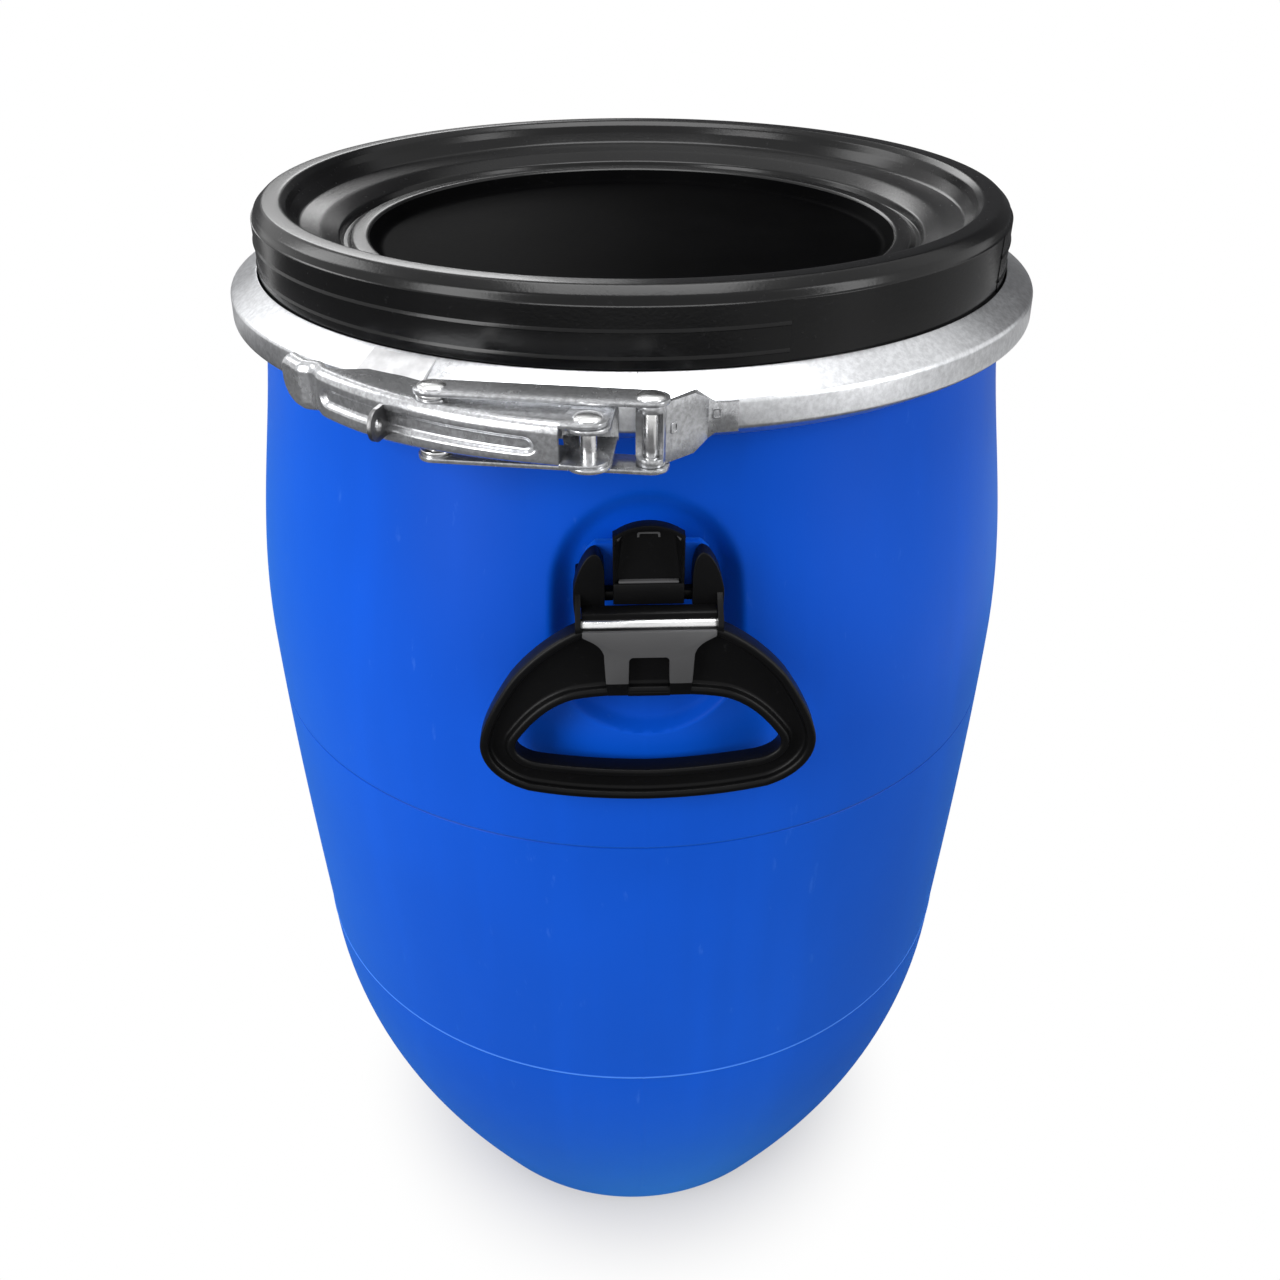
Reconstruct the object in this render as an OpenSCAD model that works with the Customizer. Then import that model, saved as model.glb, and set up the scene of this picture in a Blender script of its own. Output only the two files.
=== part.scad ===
// Open head plastic drum: blow moulded body, clamped lid, lever closing ring, two swing handles.
// Millimetres, +Z up, origin at the centre of the base, front handle and latch towards -Y.
// An azimuth is measured from -Y, positive towards +X.

/* [Drum body] */
// Radius of the base before its heel is rounded
base_r = 122; // [116:1:128]
// Rounding of the heel between base and wall
heel = 14; // [10:1:18]
// Radius where the bowl shaped bottom meets the wall
low_r = 191; // [180:1:200]
// Height where the bowl shaped bottom meets the wall
low_z = 212; // [170:1:240]
// Largest radius of the wall
belly_r = 196.3; // [192:0.1:236]
// Height of the largest radius
belly_z = 405; // [380:1:430]
// Radius of the neck under the clamping flange
neck_r = 177; // [174:0.5:180]
// Height of the neck's upper end, under the clamping flange
neck_z = 562; // [552:1:680]
// Wall thickness
wall = 3.2; // [2.6:0.1:4]
// Floor thickness
floor_t = 3.6; // [3:0.1:5]

/* [Mouth] */
// Height of the clamping flange's top face above the neck
flange_rise = 14; // [13:0.5:16]
// Outer radius of the clamping flange
flange_r = 187; // [184:0.5:190]
// Outer radius of the mouth tube above the flange
mouth_r = 168.5; // [166:0.5:170]
// Wall of the mouth tube
mouth_wall = 4; // [3:0.5:5]
// Height of the mouth tube above the flange
mouth_rise = 32; // [28:1:38]

/* [Lid] */
// Thickness of the lid
lid_t = 3; // [2.4:0.2:3.6]
// Height of the lid's rim above the gasket's top
rim_t = 4; // [3:0.5:5]
// Height of the gasket
gasket_h = 5.8; // [4:0.2:8]
// Side clearance between the mouth tube and the lid's channel
channel_gap = 3.5; // [2:0.5:4]
// Depth of the central panel below the rim
panel_drop = 26; // [22:1:28]
// Radius of the central panel
panel_r = 120; // [100:1:124]
// How far the skirt's ribs stand out
rib_out = 0.8; // [0.4:0.1:1.2]

/* [Closing ring] */
// Sheet thickness of the ring
band_t = 1.2; // [1:0.1:1.5]
// Space between the flange's edge and the ring's inner face
band_gap = 1.8; // [1:0.2:3]
// Half height of the ring's outer face
face_h = 5.8; // [5:0.2:6.6]
// Rise of the ring's upper lip
top_rise = 6.6; // [6:0.2:7.4]
// Drop of the ring's lower lip
bottom_drop = 6.2; // [5.6:0.2:7]
// Azimuth of the split
split_az = -1.2; // [-1.6:0.1:-0.8]
// Half of the split's width, in degrees
split_half = 0.12; // [0.1:0.02:0.4]

/* [Latch] */
// Distance of the fulcrum pin from the ring's outer face
pin_a_out = 24; // [23:0.5:26]
// Azimuth of the fulcrum pin
pin_a_az = -5.9; // [-7:0.1:-5.5]
// Distance of the lever pin from the ring's outer face
pin_b_out = 15; // [14:0.5:17]
// Azimuth of the lever pin
pin_b_az = -22.1; // [-24:0.1:-20]
// Distance of the end pin from the ring's outer face
pin_c_out = 13; // [12:0.5:14]
// Radius of the three latch pins
pin_r = 3; // [2.5:0.1:3.6]
// Sheet thickness of lever and links
plate_t = 1.6; // [1.2:0.1:2]
// Outer half height of the lever's channel
lever_h = 9.8; // [9:0.2:12]
// Distance from the pins to the lever's outer face
lever_out = 9; // [8:0.5:10]
// Azimuth of the lever's grip end
lever_end_az = -44.4; // [-48:0.2:-40]
// Half width of the link plates
link_w = 6.8; // [6:0.2:7.2]
// Radius of the hole in the seal lug
seal_hole_r = 2.5; // [2:0.1:3]

/* [Handles] */
// Distance of the handle pin below the clamping flange's top face
handle_drop = 80; // [74:1:90]
// Gap between the hanging grip and the wall
grip_gap = 1.7; // [1:0.1:3]
// Thickness of the grip
grip_t = 10; // [9:0.5:12]
// Half width of the grip
grip_w = 70; // [62:1:84]
// Half width of the grip's neck
grip_neck_w = 26.2; // [24:0.2:28]
// Radius of the handle pin
handle_pin_r = 2.5; // [2:0.1:3]
// Half width of the recess in the wall
pocket_w = 43; // [40:1:52]
// Height of the recess
pocket_h = 111; // [104:1:116]

/* [Clearances] */
// Radial clearance of a pin in its hole
fit = 0.05; // [0.03:0.01:0.1]
// Clearance between parts that seat on each other
seat = 0.3; // [0.2:0.05:0.4]

/* [Hidden] */
$fn = 96;
eps = 0.01;

// Colours
blue = [0.03, 0.22, 0.78];
black = [0.05, 0.05, 0.05];
rubber = [0.12, 0.12, 0.12];
zinc = [0.75, 0.76, 0.77];
steel = [0.8, 0.8, 0.8];

// Mouth and lid heights
flange_z = neck_z + flange_rise;
mouth_top = flange_z + mouth_rise;
gasket_z = mouth_top + seat / 2;
channel_top = gasket_z + gasket_h;
rim_z = channel_top + rim_t;
lid_seat_z = flange_z + seat / 2;
channel_in = mouth_r - mouth_wall - seat * 5;
channel_out = mouth_r + channel_gap;
skirt_r = channel_out + lid_t + 0.6;
rim_in = channel_in - lid_t;
panel_z = rim_z - panel_drop;

// Closing ring: a face with two sloping lips
clamp_z = flange_z - 0.8;
ring_r = flange_r + band_gap + band_t;
top_lip_r = skirt_r + 1.4;
bottom_lip_r = neck_r + 2.5;
lip_set = 0.7;
top_slope = top_rise / (ring_r - top_lip_r);
bottom_slope = bottom_drop / (ring_r - bottom_lip_r);
function top_out(r) = clamp_z + face_h + (ring_r - r) * top_slope;
function bottom_out(r) = clamp_z - face_h - (ring_r - r) * bottom_slope;
function top_in(r) = clamp_z + face_h - lip_set + (ring_r - band_t - r) * top_slope;
function bottom_in(r) = clamp_z - face_h + lip_set - (ring_r - band_t - r) * bottom_slope;
lip_gap = seat + 0.05;

// Places in plan
function polar(r, az) = [r * sin(az), -r * cos(az)];
function unit(v) = v / norm(v);
function turn90(v) = [-v[1], v[0]];
pin_a = polar(ring_r + pin_a_out, pin_a_az);
pin_b = polar(ring_r + pin_b_out, pin_b_az);
pin_c = polar(ring_r + pin_c_out, 0);

// The lever's outer face is an arc through three points
function mid(p, q) = (p + q) / 2;
function cross2(p, q) = p[0] * q[1] - p[1] * q[0];
function arc_centre(p, q, s) =
    let (m = mid(p, q), n = mid(q, s), u = turn90(q - p), v = turn90(s - q))
    m + u * cross2(n - m, v) / cross2(u, v);
function heading(v) = atan2(v[1], v[0]);
lever_tip = polar(ring_r + lever_out + 0.5, lever_end_az);
lever_mid = polar(ring_r + pin_b_out + lever_out, pin_b_az);
lever_root = polar(ring_r + pin_a_out + lever_out, pin_a_az + 2.4);
lever_c = arc_centre(lever_tip, lever_mid, lever_root);
lever_arc_r = norm(lever_root - lever_c);
lever_from = heading(lever_tip - lever_c) + 360;
lever_web_end = heading(polar(ring_r + pin_a_out + lever_out, pin_a_az - 2.6) - lever_c) + 360;
lever_flange_end = heading(pin_a - lever_c) + 360;
flange_w = 2 * lever_out;

// Latch heights, measured both ways from the ring's mid plane
ear_h = lever_h - plate_t - seat;
head_t = 1.6;
link_h = lever_h + head_t + seat;
stack_h = link_h + plate_t;
head_r = pin_r + 2.2;
barrel_r = pin_r + 2.4;
bracket_h = link_h - seat;
ear_r = 8;

// Seal lug: it leaves the ring square to the lever's swing
seal_az = -30.7;
seal_half = 4.6;
slot_az = -27;
lug_gap = 1.5;
lug_half_h = 6;
lug_reach = 11;
lug_root = 20.3;
slot_d = unit(polar(1, slot_az));
slot_dot = slot_d * lever_c;
slot_r = slot_dot + sqrt(slot_dot * slot_dot - lever_c * lever_c + lever_arc_r * lever_arc_r);
slot_p = slot_d * slot_r;
lug_dir = turn90(unit(slot_p - pin_a));

// Handles: places in the plane of the front handle
pin_z = flange_z - handle_drop;
pin_y = -(belly_r + grip_gap + grip_t / 2);
pocket_y = -(neck_r - 1);
pocket_top = flange_z - 30;
boss_y = pocket_y - 8;
head_front = boss_y - 4.5;
plate_y = head_front - 0.5;
plate_front = plate_y - 5.5;
cheek_in = grip_neck_w + 0.4;
cheek_t = 2.6;
boss_w = 23;
boss_low = pin_z + 3;
boss_high = pin_z + 25;
tongue_w = 13.75;
eye_r = grip_t / 2;

// Body wall: bowl, long wall and shoulder, each a smooth quarter wave
shoulder_shape = 1.4;
steps = 14;
function bowl_r(z) = base_r + (low_r - base_r) * sin(90 * z / low_z);
function long_r(z) = low_r + (belly_r - low_r) * sin(90 * (z - low_z) / (belly_z - low_z));
function shoulder_r(z) = neck_r + (belly_r - neck_r)
    * pow(cos(90 * min(1, (z - belly_z) / (neck_z - belly_z))), shoulder_shape);
function heel_cut(z) = z < heel ? heel * (1 - sqrt(1 - pow(1 - z / heel, 2))) : 0;
function body_r(z) =
    z < low_z ? bowl_r(z) - heel_cut(z) : z < belly_z ? long_r(z) : shoulder_r(z);
function rise(z0, z1, n) = [for (i = [0:n - 1]) z0 + (z1 - z0) * i / n];
wall_heights = concat(rise(0, heel, 6), rise(heel, low_z, steps), rise(low_z, belly_z, 8),
    rise(belly_z, neck_z, steps), [neck_z]);
cavity_heights = concat([floor_t], [for (z = wall_heights) if (z > floor_t + 1) z]);
slant = 1.1;

module body_outside() {
    rotate_extrude()
        polygon(concat([[0, 0]], [for (z = wall_heights) [body_r(z), z]], [
            [neck_r, bottom_in(neck_r) + lip_gap + 1],
            [bottom_lip_r, bottom_in(bottom_lip_r) + lip_gap],
            [flange_r, bottom_in(flange_r) + lip_gap],
            [flange_r, flange_z],
            [mouth_r, flange_z],
            [mouth_r, mouth_top],
            [0, mouth_top]]));
}

module body_cavity() {
    rotate_extrude()
        polygon(concat([[0, floor_t]],
            [for (z = cavity_heights) [body_r(z) - wall * slant, z]], [
            [mouth_r - mouth_wall, flange_z - 4],
            [mouth_r - mouth_wall, mouth_top + 1],
            [0, mouth_top + 1]]));
}

// Recess behind the handle, grown by the wall for the inside
module pocket(grow) {
    r = pocket_w + grow;
    low = pocket_top - pocket_h + pocket_w;
    high = pocket_top - pocket_w;
    translate([0, pocket_y + grow, 0])
        rotate([90, 0, 0])
        linear_extrude(100)
        union() {
            translate([0, low]) circle(r);
            translate([0, high]) circle(r);
            translate([-r, low]) square([2 * r, high - low]);
        }
}

// T shaped boss that carries the handle's bracket
module boss() {
    neck_half = 11;
    chamfer = 3;
    translate([-neck_half, boss_y - eps, boss_low])
        cube([2 * neck_half, pocket_y - boss_y + 1, boss_high - boss_low]);
    translate([0, boss_y, 0])
        rotate([90, 0, 0])
        linear_extrude(boss_y - head_front)
        polygon([[-boss_w, boss_low], [boss_w, boss_low], [boss_w, boss_high - chamfer],
            [boss_w - chamfer, boss_high], [chamfer - boss_w, boss_high],
            [-boss_w, boss_high - chamfer]]);
}

module both_sides() {
    for (turn = [0, 180])
        rotate([0, 0, turn]) children();
}

module drum_body() {
    color(blue) {
        difference() {
            body_outside();
            difference() {
                body_cavity();
                both_sides() pocket(wall);
            }
            both_sides() pocket(0);
        }
        both_sides() boss();
    }
}

module lid() {
    shelf_r = rim_in - 4.6;
    ridge_out = panel_r + 12.5;
    ridge_in = panel_r + 6;
    groove_out = ridge_out + 4;
    shelf_z = rim_z - 10.3;
    groove_z = rim_z - 21.5;
    ridge_z = rim_z - 19;
    rib_h = 0.9;
    color(black) {
        rotate_extrude()
            polygon([[0, panel_z], [panel_r, panel_z], [ridge_in, ridge_z], [ridge_out, ridge_z],
                [ridge_out + 2, groove_z], [groove_out, groove_z], [groove_out + 1.5, groove_z + 3],
                [shelf_r, shelf_z], [rim_in - 1.4, rim_z - 6], [rim_in, rim_z - 2],
                [rim_in + 2.5, rim_z], [skirt_r - 4.6, rim_z], [skirt_r - 2.1, rim_z - 1.4],
                [skirt_r, rim_z - 6], [skirt_r, top_in(top_lip_r) + 1],
                [top_lip_r + 0.2, top_in(top_lip_r + 0.2) - lip_gap],
                [flange_r, top_in(flange_r) - lip_gap], [flange_r, lid_seat_z],
                [channel_out, lid_seat_z], [channel_out, channel_top],
                [channel_in, channel_top], [channel_in, shelf_z - lid_t],
                [shelf_r + 1, shelf_z - lid_t - 1.6],
                [groove_out + 2.5, groove_z - lid_t + 2.4], [groove_out + 1, groove_z - lid_t],
                [ridge_out, groove_z - lid_t], [ridge_out - 1.4, ridge_z - lid_t],
                [ridge_in + 1, ridge_z - lid_t], [panel_r + 1, panel_z - lid_t],
                [0, panel_z - lid_t]]);
        for (z = [lid_seat_z + 16, lid_seat_z + 26.2])
            rotate_extrude()
                polygon([[skirt_r - 1, z - rib_h], [skirt_r, z - rib_h], [skirt_r + rib_out, z],
                    [skirt_r, z + rib_h], [skirt_r - 1, z + rib_h]]);
    }
}

module lid_gasket() {
    side = 0.4;
    color(rubber)
        translate([0, 0, gasket_z])
        difference() {
            cylinder(h = gasket_h, r = channel_out - side);
            translate([0, 0, -1]) cylinder(h = gasket_h + 2, r = channel_in + side);
        }
}

module band(from, sweep) {
    rotate_extrude(angle = sweep, start = from)
        polygon([[top_lip_r, top_out(top_lip_r)], [ring_r, clamp_z + face_h],
            [ring_r, clamp_z - face_h], [bottom_lip_r, bottom_out(bottom_lip_r)],
            [bottom_lip_r, bottom_in(bottom_lip_r)],
            [ring_r - band_t, bottom_in(ring_r - band_t)],
            [ring_r - band_t, top_in(ring_r - band_t)], [top_lip_r, top_in(top_lip_r)]]);
}

module ring_left_half() {
    color(zinc) band(90 + 0.03, 180 - 0.03 + split_az - split_half);
}

module ring_right_half() {
    color(zinc) band(split_az + split_half - 90, 180 - 0.03 - split_az - split_half);
}

// Two equal plates at the same height above and below the ring's mid plane
module pair(low, thick) {
    translate([0, 0, clamp_z + low]) linear_extrude(thick) children();
    translate([0, 0, clamp_z - low - thick]) linear_extrude(thick) children();
}

module pin_hole(p) {
    translate([p[0], p[1], clamp_z - 2 * stack_h]) cylinder(h = 4 * stack_h, r = pin_r + fit);
}

// A curved pad that lies on the ring's outer face
module ring_pad(from_az, to_az, half, thick) {
    r = ring_r + 0.05;
    rotate_extrude(angle = to_az - from_az, start = from_az - 90)
        translate([r, clamp_z - half]) square([thick, 2 * half]);
}

module fulcrum_bracket() {
    across = turn90(unit(pin_a));
    root = ring_r + 0.9;
    color(zinc) difference() {
        union() {
            ring_pad(pin_a_az - 6.5, pin_a_az + 2.6, ear_h, 1.7);
            pair(ear_h - plate_t, plate_t) {
                translate(pin_a) circle(ear_r);
                polygon([pin_a + ear_r * across, pin_a - ear_r * across,
                    polar(root, pin_a_az - 3.6), polar(root, pin_a_az + 2.5)]);
            }
        }
        pin_hole(pin_a);
    }
}

module end_bracket() {
    pad_to = 9.8;
    front = pin_c - [0, barrel_r];
    back = polar(ring_r + 0.4, 5.4);
    pad_out = polar(ring_r + 0.2 + plate_t, 6.4);
    wide_to = 16;
    narrow_from = 24;
    window = 8.6;
    color(zinc) difference() {
        intersection() {
            union() {
                translate([pin_c[0], pin_c[1], clamp_z - bracket_h])
                    cylinder(h = 2 * bracket_h, r = barrel_r);
                translate([0, 0, clamp_z - bracket_h])
                    linear_extrude(2 * bracket_h)
                    polygon([front, pad_out, back, front + [0, plate_t]]);
                ring_pad(5, pad_to, bracket_h, plate_t);
            }
            translate([0, -ring_r - 60, clamp_z])
                rotate([-90, 0, 0])
                linear_extrude(120)
                polygon([[-20, -bracket_h], [wide_to, -bracket_h], [narrow_from, -face_h],
                    [60, -face_h], [60, face_h], [narrow_from, face_h], [wide_to, bracket_h],
                    [-20, bracket_h]]);
        }
        pin_hole(pin_c);
        translate([pin_c[0] - barrel_r - 1, pin_c[1] - barrel_r - 1, clamp_z - window])
            cube([2 * barrel_r - 0.4, barrel_r + 1, 2 * window]);
    }
}

module seal_bracket() {
    side = 0.05;
    turn = heading(lug_dir);
    color(zinc) {
        rotate_extrude(angle = 2 * seal_half, start = seal_az - seal_half - 90)
            polygon([[top_lip_r + 2, top_out(top_lip_r + 2) + side],
                [ring_r + side, clamp_z + face_h + side], [ring_r + side, clamp_z - face_h],
                [ring_r + side + band_t, clamp_z - face_h],
                [ring_r + side + band_t, clamp_z + face_h + 0.8],
                [top_lip_r + 2, top_out(top_lip_r + 2) + side + band_t]]);
        difference() {
            translate([slot_p[0], slot_p[1], clamp_z])
                rotate([0, 0, turn])
                rotate([90, 0, 0])
                linear_extrude(plate_t, center = true)
                difference() {
                    union() {
                        translate([-lug_root, -lug_half_h])
                            square([lug_root + lug_reach - lug_half_h, 2 * lug_half_h]);
                        translate([lug_reach - lug_half_h, 0]) circle(lug_half_h);
                    }
                    translate([lug_reach - lug_half_h, 0]) circle(seal_hole_r);
                }
            translate([0, 0, clamp_z - 20]) cylinder(h = 40, r = ring_r + side);
        }
    }
}

module lever() {
    r = lever_arc_r;
    ring_space = ring_r + band_t + 1;
    color(zinc) difference() {
        union() {
            translate([lever_c[0], lever_c[1], clamp_z])
                rotate_extrude(angle = lever_web_end - lever_from, start = lever_from)
                translate([r - plate_t, -lever_h]) square([plate_t, 2 * lever_h]);
            for (z = [lever_h - plate_t, -lever_h])
                translate([lever_c[0], lever_c[1], clamp_z + z])
                    rotate_extrude(angle = lever_flange_end - lever_from, start = lever_from)
                    translate([r - flange_w, 0]) square([flange_w, plate_t]);
            pair(lever_h - plate_t, plate_t) translate(pin_a) circle(lever_out);
        }
        translate([0, 0, clamp_z - 20]) cylinder(h = 40, r = ring_space);
        pin_hole(pin_a);
        pin_hole(pin_b);
        translate([slot_p[0], slot_p[1], clamp_z])
            rotate([0, 0, heading(lug_dir)])
            cube([12, plate_t + 2 * lug_gap, 2 * lug_half_h + 2], center = true);
    }
}

// Pin with a flat head at each end
module headed_pin(p, shank_h) {
    translate([p[0], p[1], clamp_z - shank_h]) cylinder(h = 2 * shank_h, r = pin_r);
    for (z = [shank_h, -shank_h - head_t])
        translate([p[0], p[1], clamp_z + z]) cylinder(h = head_t, r = head_r);
}

module fulcrum_pin() {
    color(steel) headed_pin(pin_a, lever_h);
}

module lever_pin() {
    color(steel) headed_pin(pin_b, stack_h);
}

module lever_pin_washers() {
    color(steel) pair(lever_h, link_h - lever_h) {
        difference() {
            translate(pin_b) circle(head_r + 0.8);
            translate(pin_b) circle(pin_r + fit);
        }
    }
}

module link(z) {
    along = unit(pin_c - pin_b);
    across = turn90(along) * link_w;
    color(zinc) difference() {
        translate([0, 0, clamp_z + z])
            linear_extrude(plate_t)
            union() {
                translate(pin_b) circle(link_w);
                translate(pin_c) circle(link_w);
                polygon([pin_b + across, pin_b - across, pin_c - across, pin_c + across]);
            }
        pin_hole(pin_b);
        pin_hole(pin_c);
    }
}

module link_upper() {
    link(link_h);
}

module link_lower() {
    link(-stack_h);
}

module end_pin() {
    color(steel)
        translate([pin_c[0], pin_c[1], clamp_z - bracket_h])
        cylinder(h = 2 * bracket_h, r = pin_r);
}

module end_pin_heads() {
    color(steel) {
        pair(stack_h, head_t) translate(pin_c) circle(head_r);
        pair(link_h, plate_t + eps) translate(pin_c) circle(pin_r);
    }
}

// Bracket that snaps over the T shaped boss and holds the handle's pin
module handle_bracket() {
    horn_in = tongue_w + 3.2;
    horn_out = cheek_in + cheek_t;
    rail_in = boss_w + 0.4;
    bar_low = pin_z + eye_r + 0.6;
    bar_high = boss_low + 8;
    tongue_top = pin_z + 41;
    tongue_round = 22;
    horn_top = pin_z + 27;
    lip_y = boss_y + seat;
    depth = plate_y - plate_front;
    color(black) difference() {
        union() {
            // Front plate: crossbar, tongue with an arched top, two horns
            translate([0, plate_y, 0])
                rotate([90, 0, 0])
                linear_extrude(depth)
                union() {
                    translate([-horn_out, bar_low]) square([2 * horn_out, bar_high - bar_low]);
                    intersection() {
                        translate([-tongue_w, bar_low]) square([2 * tongue_w, 60]);
                        translate([0, tongue_top - tongue_round]) circle(tongue_round);
                    }
                    for (side = [-1, 1])
                        intersection() {
                            polygon([[side * horn_in, bar_low], [side * horn_out, bar_low],
                                [side * horn_out, horn_top], [side * horn_in, horn_top]]);
                            translate([side * (horn_out - 13), horn_top - 20])
                                circle(20);
                        }
                }
            // Rails and lips that hook behind the boss
            for (side = [-1, 1]) {
                translate([side > 0 ? rail_in : -horn_out, plate_y - eps, bar_low])
                    cube([horn_out - rail_in, lip_y + 4 - plate_y, horn_top - bar_low - 6]);
                translate([side > 0 ? 12 : -horn_out, lip_y, bar_low])
                    cube([horn_out - 12, 4, horn_top - bar_low - 6]);
                // Cheek that carries the pin
                translate([side > 0 ? cheek_in : -horn_out, 0, 0])
                    rotate([90, 0, 90])
                    linear_extrude(cheek_t)
                    union() {
                        translate([pin_y, pin_z]) circle(eye_r);
                        polygon([[pin_y, pin_z - eye_r], [plate_y + 3, pin_z - eye_r + 2],
                            [plate_y + 3, bar_high], [plate_front, bar_high],
                            [pin_y - 4, pin_z + 3]]);
                    }
            }
        }
        translate([-horn_out - 1, pin_y, pin_z])
            rotate([0, 90, 0]) cylinder(h = 2 * horn_out + 2, r = handle_pin_r + fit);
    }
}

module handle_pin() {
    half = cheek_in + cheek_t;
    color(steel)
        translate([-half, pin_y, pin_z]) rotate([0, 90, 0]) cylinder(h = 2 * half, r = handle_pin_r);
}

// Cubic curve through a to d with handles b and c
function curve(a, b, c, d, n = 8) = [for (i = [0:n - 1]) let (t = i / n, s = 1 - t)
    s * s * s * a + 3 * s * s * t * b + 3 * s * t * t * c + t * t * t * d];
function flip(points) = [for (i = [len(points) - 1:-1:0]) [-points[i][0], points[i][1]]];

// Half outlines of the D shaped grip, from the neck down to the middle of the hand bar
grip_half = concat(
    curve([grip_neck_w, -6], [grip_neck_w + 10, -16], [grip_w - 18, -24], [grip_w - 9, -38]),
    curve([grip_w - 9, -38], [grip_w - 3, -47], [grip_w, -56], [grip_w, -64]),
    curve([grip_w, -64], [grip_w, -76], [grip_w - 14, -80], [grip_w - 28, -82]),
    curve([grip_w - 28, -82], [20, -84], [10, -84.4], [0, -84.4]));
hole_half = concat(
    curve([0, -35.5], [14, -35.5], [22, -36], [grip_w - 40, -37.5]),
    curve([grip_w - 40, -37.5], [grip_w - 28, -40], [grip_w - 22, -47], [grip_w - 15, -57]),
    curve([grip_w - 15, -57], [grip_w - 12, -62], [grip_w - 16, -64.5], [grip_w - 24, -65]),
    curve([grip_w - 24, -65], [26, -66.4], [12, -67], [0, -67]));

module handle_grip() {
    foot_w = 15.4;
    notch_w = 6;
    color(black) difference() {
        union() {
            translate([0, pin_y + grip_t / 2, pin_z])
                rotate([90, 0, 0])
                linear_extrude(grip_t)
                difference() {
                    union() {
                        polygon(concat(grip_half, flip(grip_half)));
                        translate([-grip_neck_w, -20]) square([2 * grip_neck_w, 20]);
                        translate([-foot_w, -38.5]) square([2 * foot_w, 30]);
                    }
                    polygon(concat(hole_half, flip(hole_half)));
                    translate([-notch_w, -34]) square([2 * notch_w, 13]);
                }
            translate([-grip_neck_w, pin_y, pin_z])
                rotate([0, 90, 0]) cylinder(h = 2 * grip_neck_w, r = eye_r);
        }
        translate([-grip_neck_w - 1, pin_y, pin_z])
            rotate([0, 90, 0]) cylinder(h = 2 * grip_neck_w + 2, r = handle_pin_r + fit);
        // The eye is open towards the front, above the neck
        translate([-grip_neck_w - 1, pin_y - 2 * grip_t, pin_z + 0.5])
            cube([2 * grip_neck_w + 2, 2 * grip_t, grip_t]);
    }
}

module front_handle_bracket() {
    handle_bracket();
}

module front_handle_pin() {
    handle_pin();
}

module front_handle_grip() {
    handle_grip();
}

module rear_handle_bracket() {
    rotate([0, 0, 180]) handle_bracket();
}

module rear_handle_pin() {
    rotate([0, 0, 180]) handle_pin();
}

module rear_handle_grip() {
    rotate([0, 0, 180]) handle_grip();
}

drum_body();
lid();
lid_gasket();
ring_left_half();
ring_right_half();
fulcrum_bracket();
end_bracket();
seal_bracket();
lever();
fulcrum_pin();
lever_pin();
lever_pin_washers();
link_upper();
link_lower();
end_pin();
end_pin_heads();
front_handle_bracket();
front_handle_pin();
front_handle_grip();
rear_handle_bracket();
rear_handle_pin();
rear_handle_grip();
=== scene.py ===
"""Open head plastic drum with a clamped lid, lever closing ring and two swing handles."""

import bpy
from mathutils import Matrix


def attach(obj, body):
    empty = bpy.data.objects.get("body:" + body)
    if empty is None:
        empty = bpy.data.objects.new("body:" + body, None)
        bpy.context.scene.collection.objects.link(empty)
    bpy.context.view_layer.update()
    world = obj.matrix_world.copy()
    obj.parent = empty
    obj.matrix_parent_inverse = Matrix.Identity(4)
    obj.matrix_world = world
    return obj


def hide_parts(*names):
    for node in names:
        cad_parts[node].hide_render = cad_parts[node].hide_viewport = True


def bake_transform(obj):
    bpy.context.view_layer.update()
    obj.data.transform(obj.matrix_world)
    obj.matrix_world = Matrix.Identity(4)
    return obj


bl_info = {
    "name": "Open head drum",
    "version": (1, 0, 0),
    "blender": (4, 5, 0),
    "location": "View3D > Sidebar > Drum",
    "description": "Builds the drum's visible pieces and finishes around its fixed frame",
    "category": "Object",
}

import math

import bmesh
import bpy
from mathutils import Matrix, Vector
from mathutils.bvhtree import BVHTree

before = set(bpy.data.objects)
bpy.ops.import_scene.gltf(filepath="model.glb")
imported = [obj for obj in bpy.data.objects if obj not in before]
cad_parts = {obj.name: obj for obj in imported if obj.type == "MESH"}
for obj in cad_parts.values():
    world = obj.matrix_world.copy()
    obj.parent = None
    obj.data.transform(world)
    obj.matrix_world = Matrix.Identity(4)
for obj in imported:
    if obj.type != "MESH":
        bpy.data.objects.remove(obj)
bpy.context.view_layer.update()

MM = 0.001

# Heights of the frame, in millimetres
FLANGE_Z = 576.0
MOUTH_TOP = 608.0
RIM_Z = 617.95
LID_SEAT_Z = 576.15
CLAMP_Z = 575.2
NECK_Z = 562.0
LOW_Z = 212.0
SEAM_Z = 374.8
BELLY_Z = 405.0
# Radii of the frame
NECK_R = 177.0
BELLY_R = 196.3
LOW_R = 191.0
BASE_R = 122.0
HEEL = 14.0
FLANGE_R = 187.0
RING_R = 190.0
TOP_LIP_R = 177.0
BOTTOM_LIP_R = 179.5
# Handle recess: where it starts to fade out, its arched top, and its floor's distance from the axis
RECESS_FOOT = 480.0
RECESS_TOP = 546.0
RECESS_FLOOR = 176.0
# Latch: its pins in plan, the centre of the lever's curve, and heights from the ring's middle
PIN_A = Vector((-21.997, -212.866))
PIN_B = Vector((-77.126, -189.938))
PIN_C = Vector((0.0, -203.0))
LEVER_C = Vector((16.024, -36.802))
LEVER_R = 188.131
LEVER_H = 9.8
SLOT_P = Vector((-95.828, -188.072))
LUG_DIR = Vector((-0.31836, -0.94797))
LINK_TOP = 13.3
FULCRUM_FOOT = -6.6
SHEET = 1.6
RIVET_R = 3.0
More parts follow.
